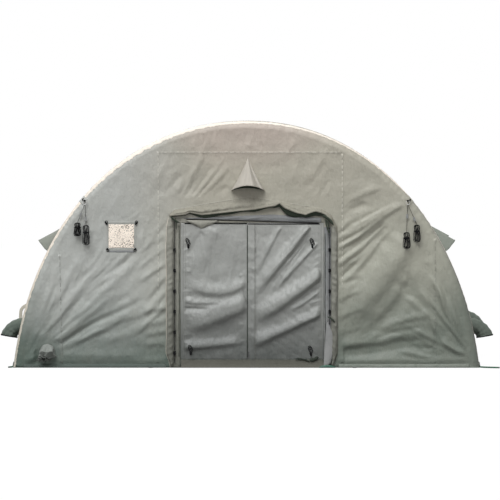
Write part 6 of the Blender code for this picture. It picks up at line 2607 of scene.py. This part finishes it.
@dataclass
class Vents(Dresser):
    """All the hoods and ducts: over the door, low in the front wall, and on both sides."""

    wardrobe: Wardrobe
    section: TunnelSection
    cover: CoverShell
    row: float = 2.0505
    hood_level: float = 1.38
    duct_level: float = 0.48

    def side_point(self, side: int, height: float) -> tuple[Array, Array]:
        """A point of the dipped cover at a height, and its outward direction, as (x, y, z)."""
        place, out = self.section.at(np.array([self.section.share_at(side, height)]), SAG)
        return np.array([place[0, 0], 0, place[0, 1]]), np.array([out[0, 0], 0, out[0, 1]])

    def build(self) -> None:
        """Make every hood and duct."""
        # Dark crescent under the front hood's lip: painted shade
        u, v = np.meshgrid(np.linspace(-1, 1, 40), np.linspace(0, 1, 6))
        low, high = 2.128 + 0.03 * (1 - u**2), 2.134 + 0.058 * (1 - u**2)
        mouth = coords(0.02 + 0.192 * u, FRONT - 0.012, low + (high - low) * v)
        self.dress(cloth("front_hood_shade", mouth, 0.002), Look.DARK)
        base = np.array([0.02, FRONT, 2.13])
        VentHood("front_hood", "front_vent_hood", self.wardrobe, base, (1, 0, 0), (0, 0, 1), (0, -1, 0), 0.17,
                 ridge=0.3).build()
        DuctSleeve("front_duct", "duct_sleeve_front", self.wardrobe, (DUCT[0], FRONT, DUCT[1]), (0, -1.0, 0),
            0.099, 0.08, 62.0, finish=Look.DUCT, crumple=0.2, neck=0.52,
            pull=(-0.058, -0.012, -0.052)).build()
        for side, word in SIDES:
            low, _ = self.side_point(side, self.hood_level)
            high, _ = self.side_point(side, self.hood_level + 0.42)
            climb = unit(high - low)
            outward = np.array([side * climb[2], 0, -side * climb[0]])
            for number, y in ((1, -self.row), (2, self.row)):
                names = f"side_hood_cloth_{word}_{number}", f"side_hood_{word}_{number}"
                hood = VentHood(*names, self.wardrobe, low + [0, y, 0], (0, side, 0), climb, outward, 0.195,
                                finish=Look.SLEEVE)
                hood.build(self.cover, side)
            root, out = self.side_point(side, self.duct_level)
            for number, y in ((1, -self.row), (2, self.row)):
                if side < 0 and number > 1:
                    continue
                DuctSleeve(f"side_duct_{word}_{number}", f"duct_sleeve_{word}_{number}", self.wardrobe,
                           root + [0, y, 0], out, 0.2, 0.21).build()
                if side < 0:
                    self.strap(f"duct_strap_{word}_{number}", side, y)

    def strap(self, name: str, side: int, y: float) -> None:
        """Cream webbing loop beside a duct, for tying it shut: it hangs in a slack bow.

        Args:
            name: name of the piece.
            side: -1 for the left side, 1 for the right.
            y: place of the duct along the tent.
        """
        high, out = self.side_point(side, self.duct_level + 0.26)
        low, _ = self.side_point(side, self.duct_level - 0.14)
        share = np.linspace(0, 1, 40)[:, None]
        bow = 0.095 * np.sin(PI * share) ** 0.8 + 0.022 * np.sin(3 * PI * share) + 0.004
        path = high + [0, y + 0.15, 0] + (low - high) * share + out * bow
        across = unit(np.cross(np.gradient(path, axis=0), Y_WAY))
        self.dress(ribbon(name, path, across, -Y_WAY, 0.04, 0.003), Look.CREAM)


@dataclass
class Rigging:
    """Guy anchors, the four guy lines put up in hanks, and the cords on the ground."""

    wardrobe: Wardrobe
    section: TunnelSection

    def build(self) -> None:
        """Make them."""
        feet = {-1: (-1.93819, -3.23, 1.95733), 1: (1.93819, -3.23, 1.95733)}
        lines = (
            (1, -1, (-0.085, 0.215), (0.048, 0.16)),
            (2, -1, (0.012, 0.245), (0.05, 0.24)),
            (3, 1, (-0.012, 0.33), (0.05, 0.2)),
            (4, 1, (0.105, 0.24), (0.046, 0.21)),
        )
        for side, foot in feet.items():
            GuyAnchor(side, self.wardrobe, self.section, foot).build()
        for number, side, drop, hank in lines:
            tilt = abs(drop[0]) / math.hypot(*drop)
            start = np.array(feet[side]) + [0.003 * math.copysign(1, drop[0]), 0, -0.0003 - 0.0025 * tilt / 2]
            GuyLine(number, self.wardrobe, start, drop, hank).build()
        GroundCords(self.wardrobe).build()


# Studio


@dataclass
class Studio:
    """Pale floor, white surround, soft lamps and the camera at the photograph's angle."""

    distance: float = 100.0
    eye: float = 3.0
    middle: tuple[float, float] = (0.044, 1.414)
    view_width: float = 6.0
    slide: float = 0.5

    def camera(self) -> None:
        """A long lens square on to the front wall."""
        data = bpy.data.cameras.new("view")
        data.sensor_width = 36.0
        data.lens = 36.0 * self.distance / self.view_width
        data.clip_end = 400.0
        camera = bpy.data.objects.new("view", data)
        bpy.context.scene.collection.objects.link(camera)
        target = Vector((self.middle[0], FRONT, self.middle[1]))
        place = Vector((self.middle[0] + self.slide, FRONT - self.distance, self.eye))
        camera.rotation_mode = "QUATERNION"
        camera.rotation_quaternion = (target - place).to_track_quat("-Z", "Y")
        camera.location = place
        bpy.context.scene.camera = camera

    def sun(self, name: str, direction: tuple[float, float, float], strength: float, spread: float,
            colour: Colour) -> None:
        """A broad soft lamp shining along a direction.

        Args:
            name: name of the lamp.
            direction: way that it shines.
            strength: strength of its light.
            spread: its angle in degrees.
            colour: colour of its light.
        """
        data = bpy.data.lights.new(name, "SUN")
        data.energy = strength
        data.angle = math.radians(spread)
        data.color = colour
        lamp = bpy.data.objects.new(name, data)
        lamp.rotation_mode = "QUATERNION"
        lamp.rotation_quaternion = Vector(direction).to_track_quat("-Z", "Y")
        lamp.location = (0, 0, 8)
        bpy.context.scene.collection.objects.link(lamp)

    def mixed(self, tree: Tree, kinds: tuple[str, str], plain: dict, seen: dict, share: float,
              through: bool) -> None:
        """Join an output to a mix of a plain shader and one for camera and mirror rays.

        Args:
            tree: the node tree, emptied first.
            kinds: kinds of the output node and of the plain shader.
            plain: inputs of the plain shader.
            seen: inputs of the other shader.
            share: share of the other shader for those rays.
            through: whether rays through glass see it too.
        """
        kit = NodeKit(tree)
        tree.nodes.clear()
        other = "Background" if kinds[1] == "Background" else "Emission"
        rays = kit.add("LightPath").outputs
        mask = kit.math("MAXIMUM", rays["Is Camera Ray"], rays["Is Glossy Ray"])
        if through:
            mask = kit.math("MAXIMUM", mask, rays["Is Transmission Ray"])
        mask = kit.math("MULTIPLY", mask, share)
        shaders = kit.add(kinds[1], **plain).outputs[0], kit.add(other, **seen).outputs[0]
        mix = kit.add("MixShader", _0=mask, _1=shaders[0], _2=shaders[1]).outputs[0]
        kit.give(kit.add(kinds[0]), Surface=mix)

    def surround(self) -> None:
        """A world that lights softly and shows plain white."""
        world = bpy.data.worlds.new("surround")
        bpy.context.scene.world = world
        world.use_nodes = True
        soft, white = {"Color": (0.93, 0.96, 1.0), "Strength": 0.2}, {"Color": (1.0, 1.0, 1.0)}
        self.mixed(world.node_tree, ("OutputWorld", "Background"), soft, white, 1.0, True)

    def floor(self) -> None:
        """A wide pale floor that keeps a faint shadow."""
        thing = mesh_piece("floor", [(-60, -60, 0), (60, -60, 0), (60, 90, 0), (-60, 90, 0)], [(0, 1, 2, 3)])
        material = bpy.data.materials.new("pale_floor")
        material.use_nodes = True
        matt, glow = {"Color": (0.22, 0.22, 0.22)}, {"Strength": 1.13}
        self.mixed(material.node_tree, ("OutputMaterial", "BsdfDiffuse"), matt, glow, 0.86, False)
        thing.data.materials.append(material)

    def build(self) -> None:
        """Set up everything round the object."""
        bpy.context.scene.view_settings.view_transform = "Standard"
        self.camera()
        self.surround()
        self.floor()
        self.sun("key_lamp", (0.26, 0.7, -1.0), 3.3, 45, (0.97, 0.985, 1.0))
        self.sun("fill_lamp", (-0.5, 1.0, -0.15), 0.4, 40, (1.0, 0.97, 0.93))
        self.sun("rim_lamp", (0.15, -0.55, -0.9), 1.0, 18, (1.0, 0.97, 0.92))


def main() -> None:
    """Build every sub-assembly in order."""
    logging.basicConfig(level=logging.INFO, format="%(message)s")
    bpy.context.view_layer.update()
    wardrobe = Wardrobe()
    section = TunnelSection()
    Studio().build()
    cover = CoverShell(section, wardrobe)
    cover.build()
    front = FrontWall(section, wardrobe, cover)
    front.build()
    Doorway(wardrobe, front.cloth_wall).build()
    WindowUnit(wardrobe, front.cloth_wall).build()
    Vents(wardrobe, section, cover).build()
    Rigging(wardrobe, section).build()
    AirFrame(wardrobe, section).build()
    RearWall(section, wardrobe, cover).build()


if __name__ == "__main__":
    main()
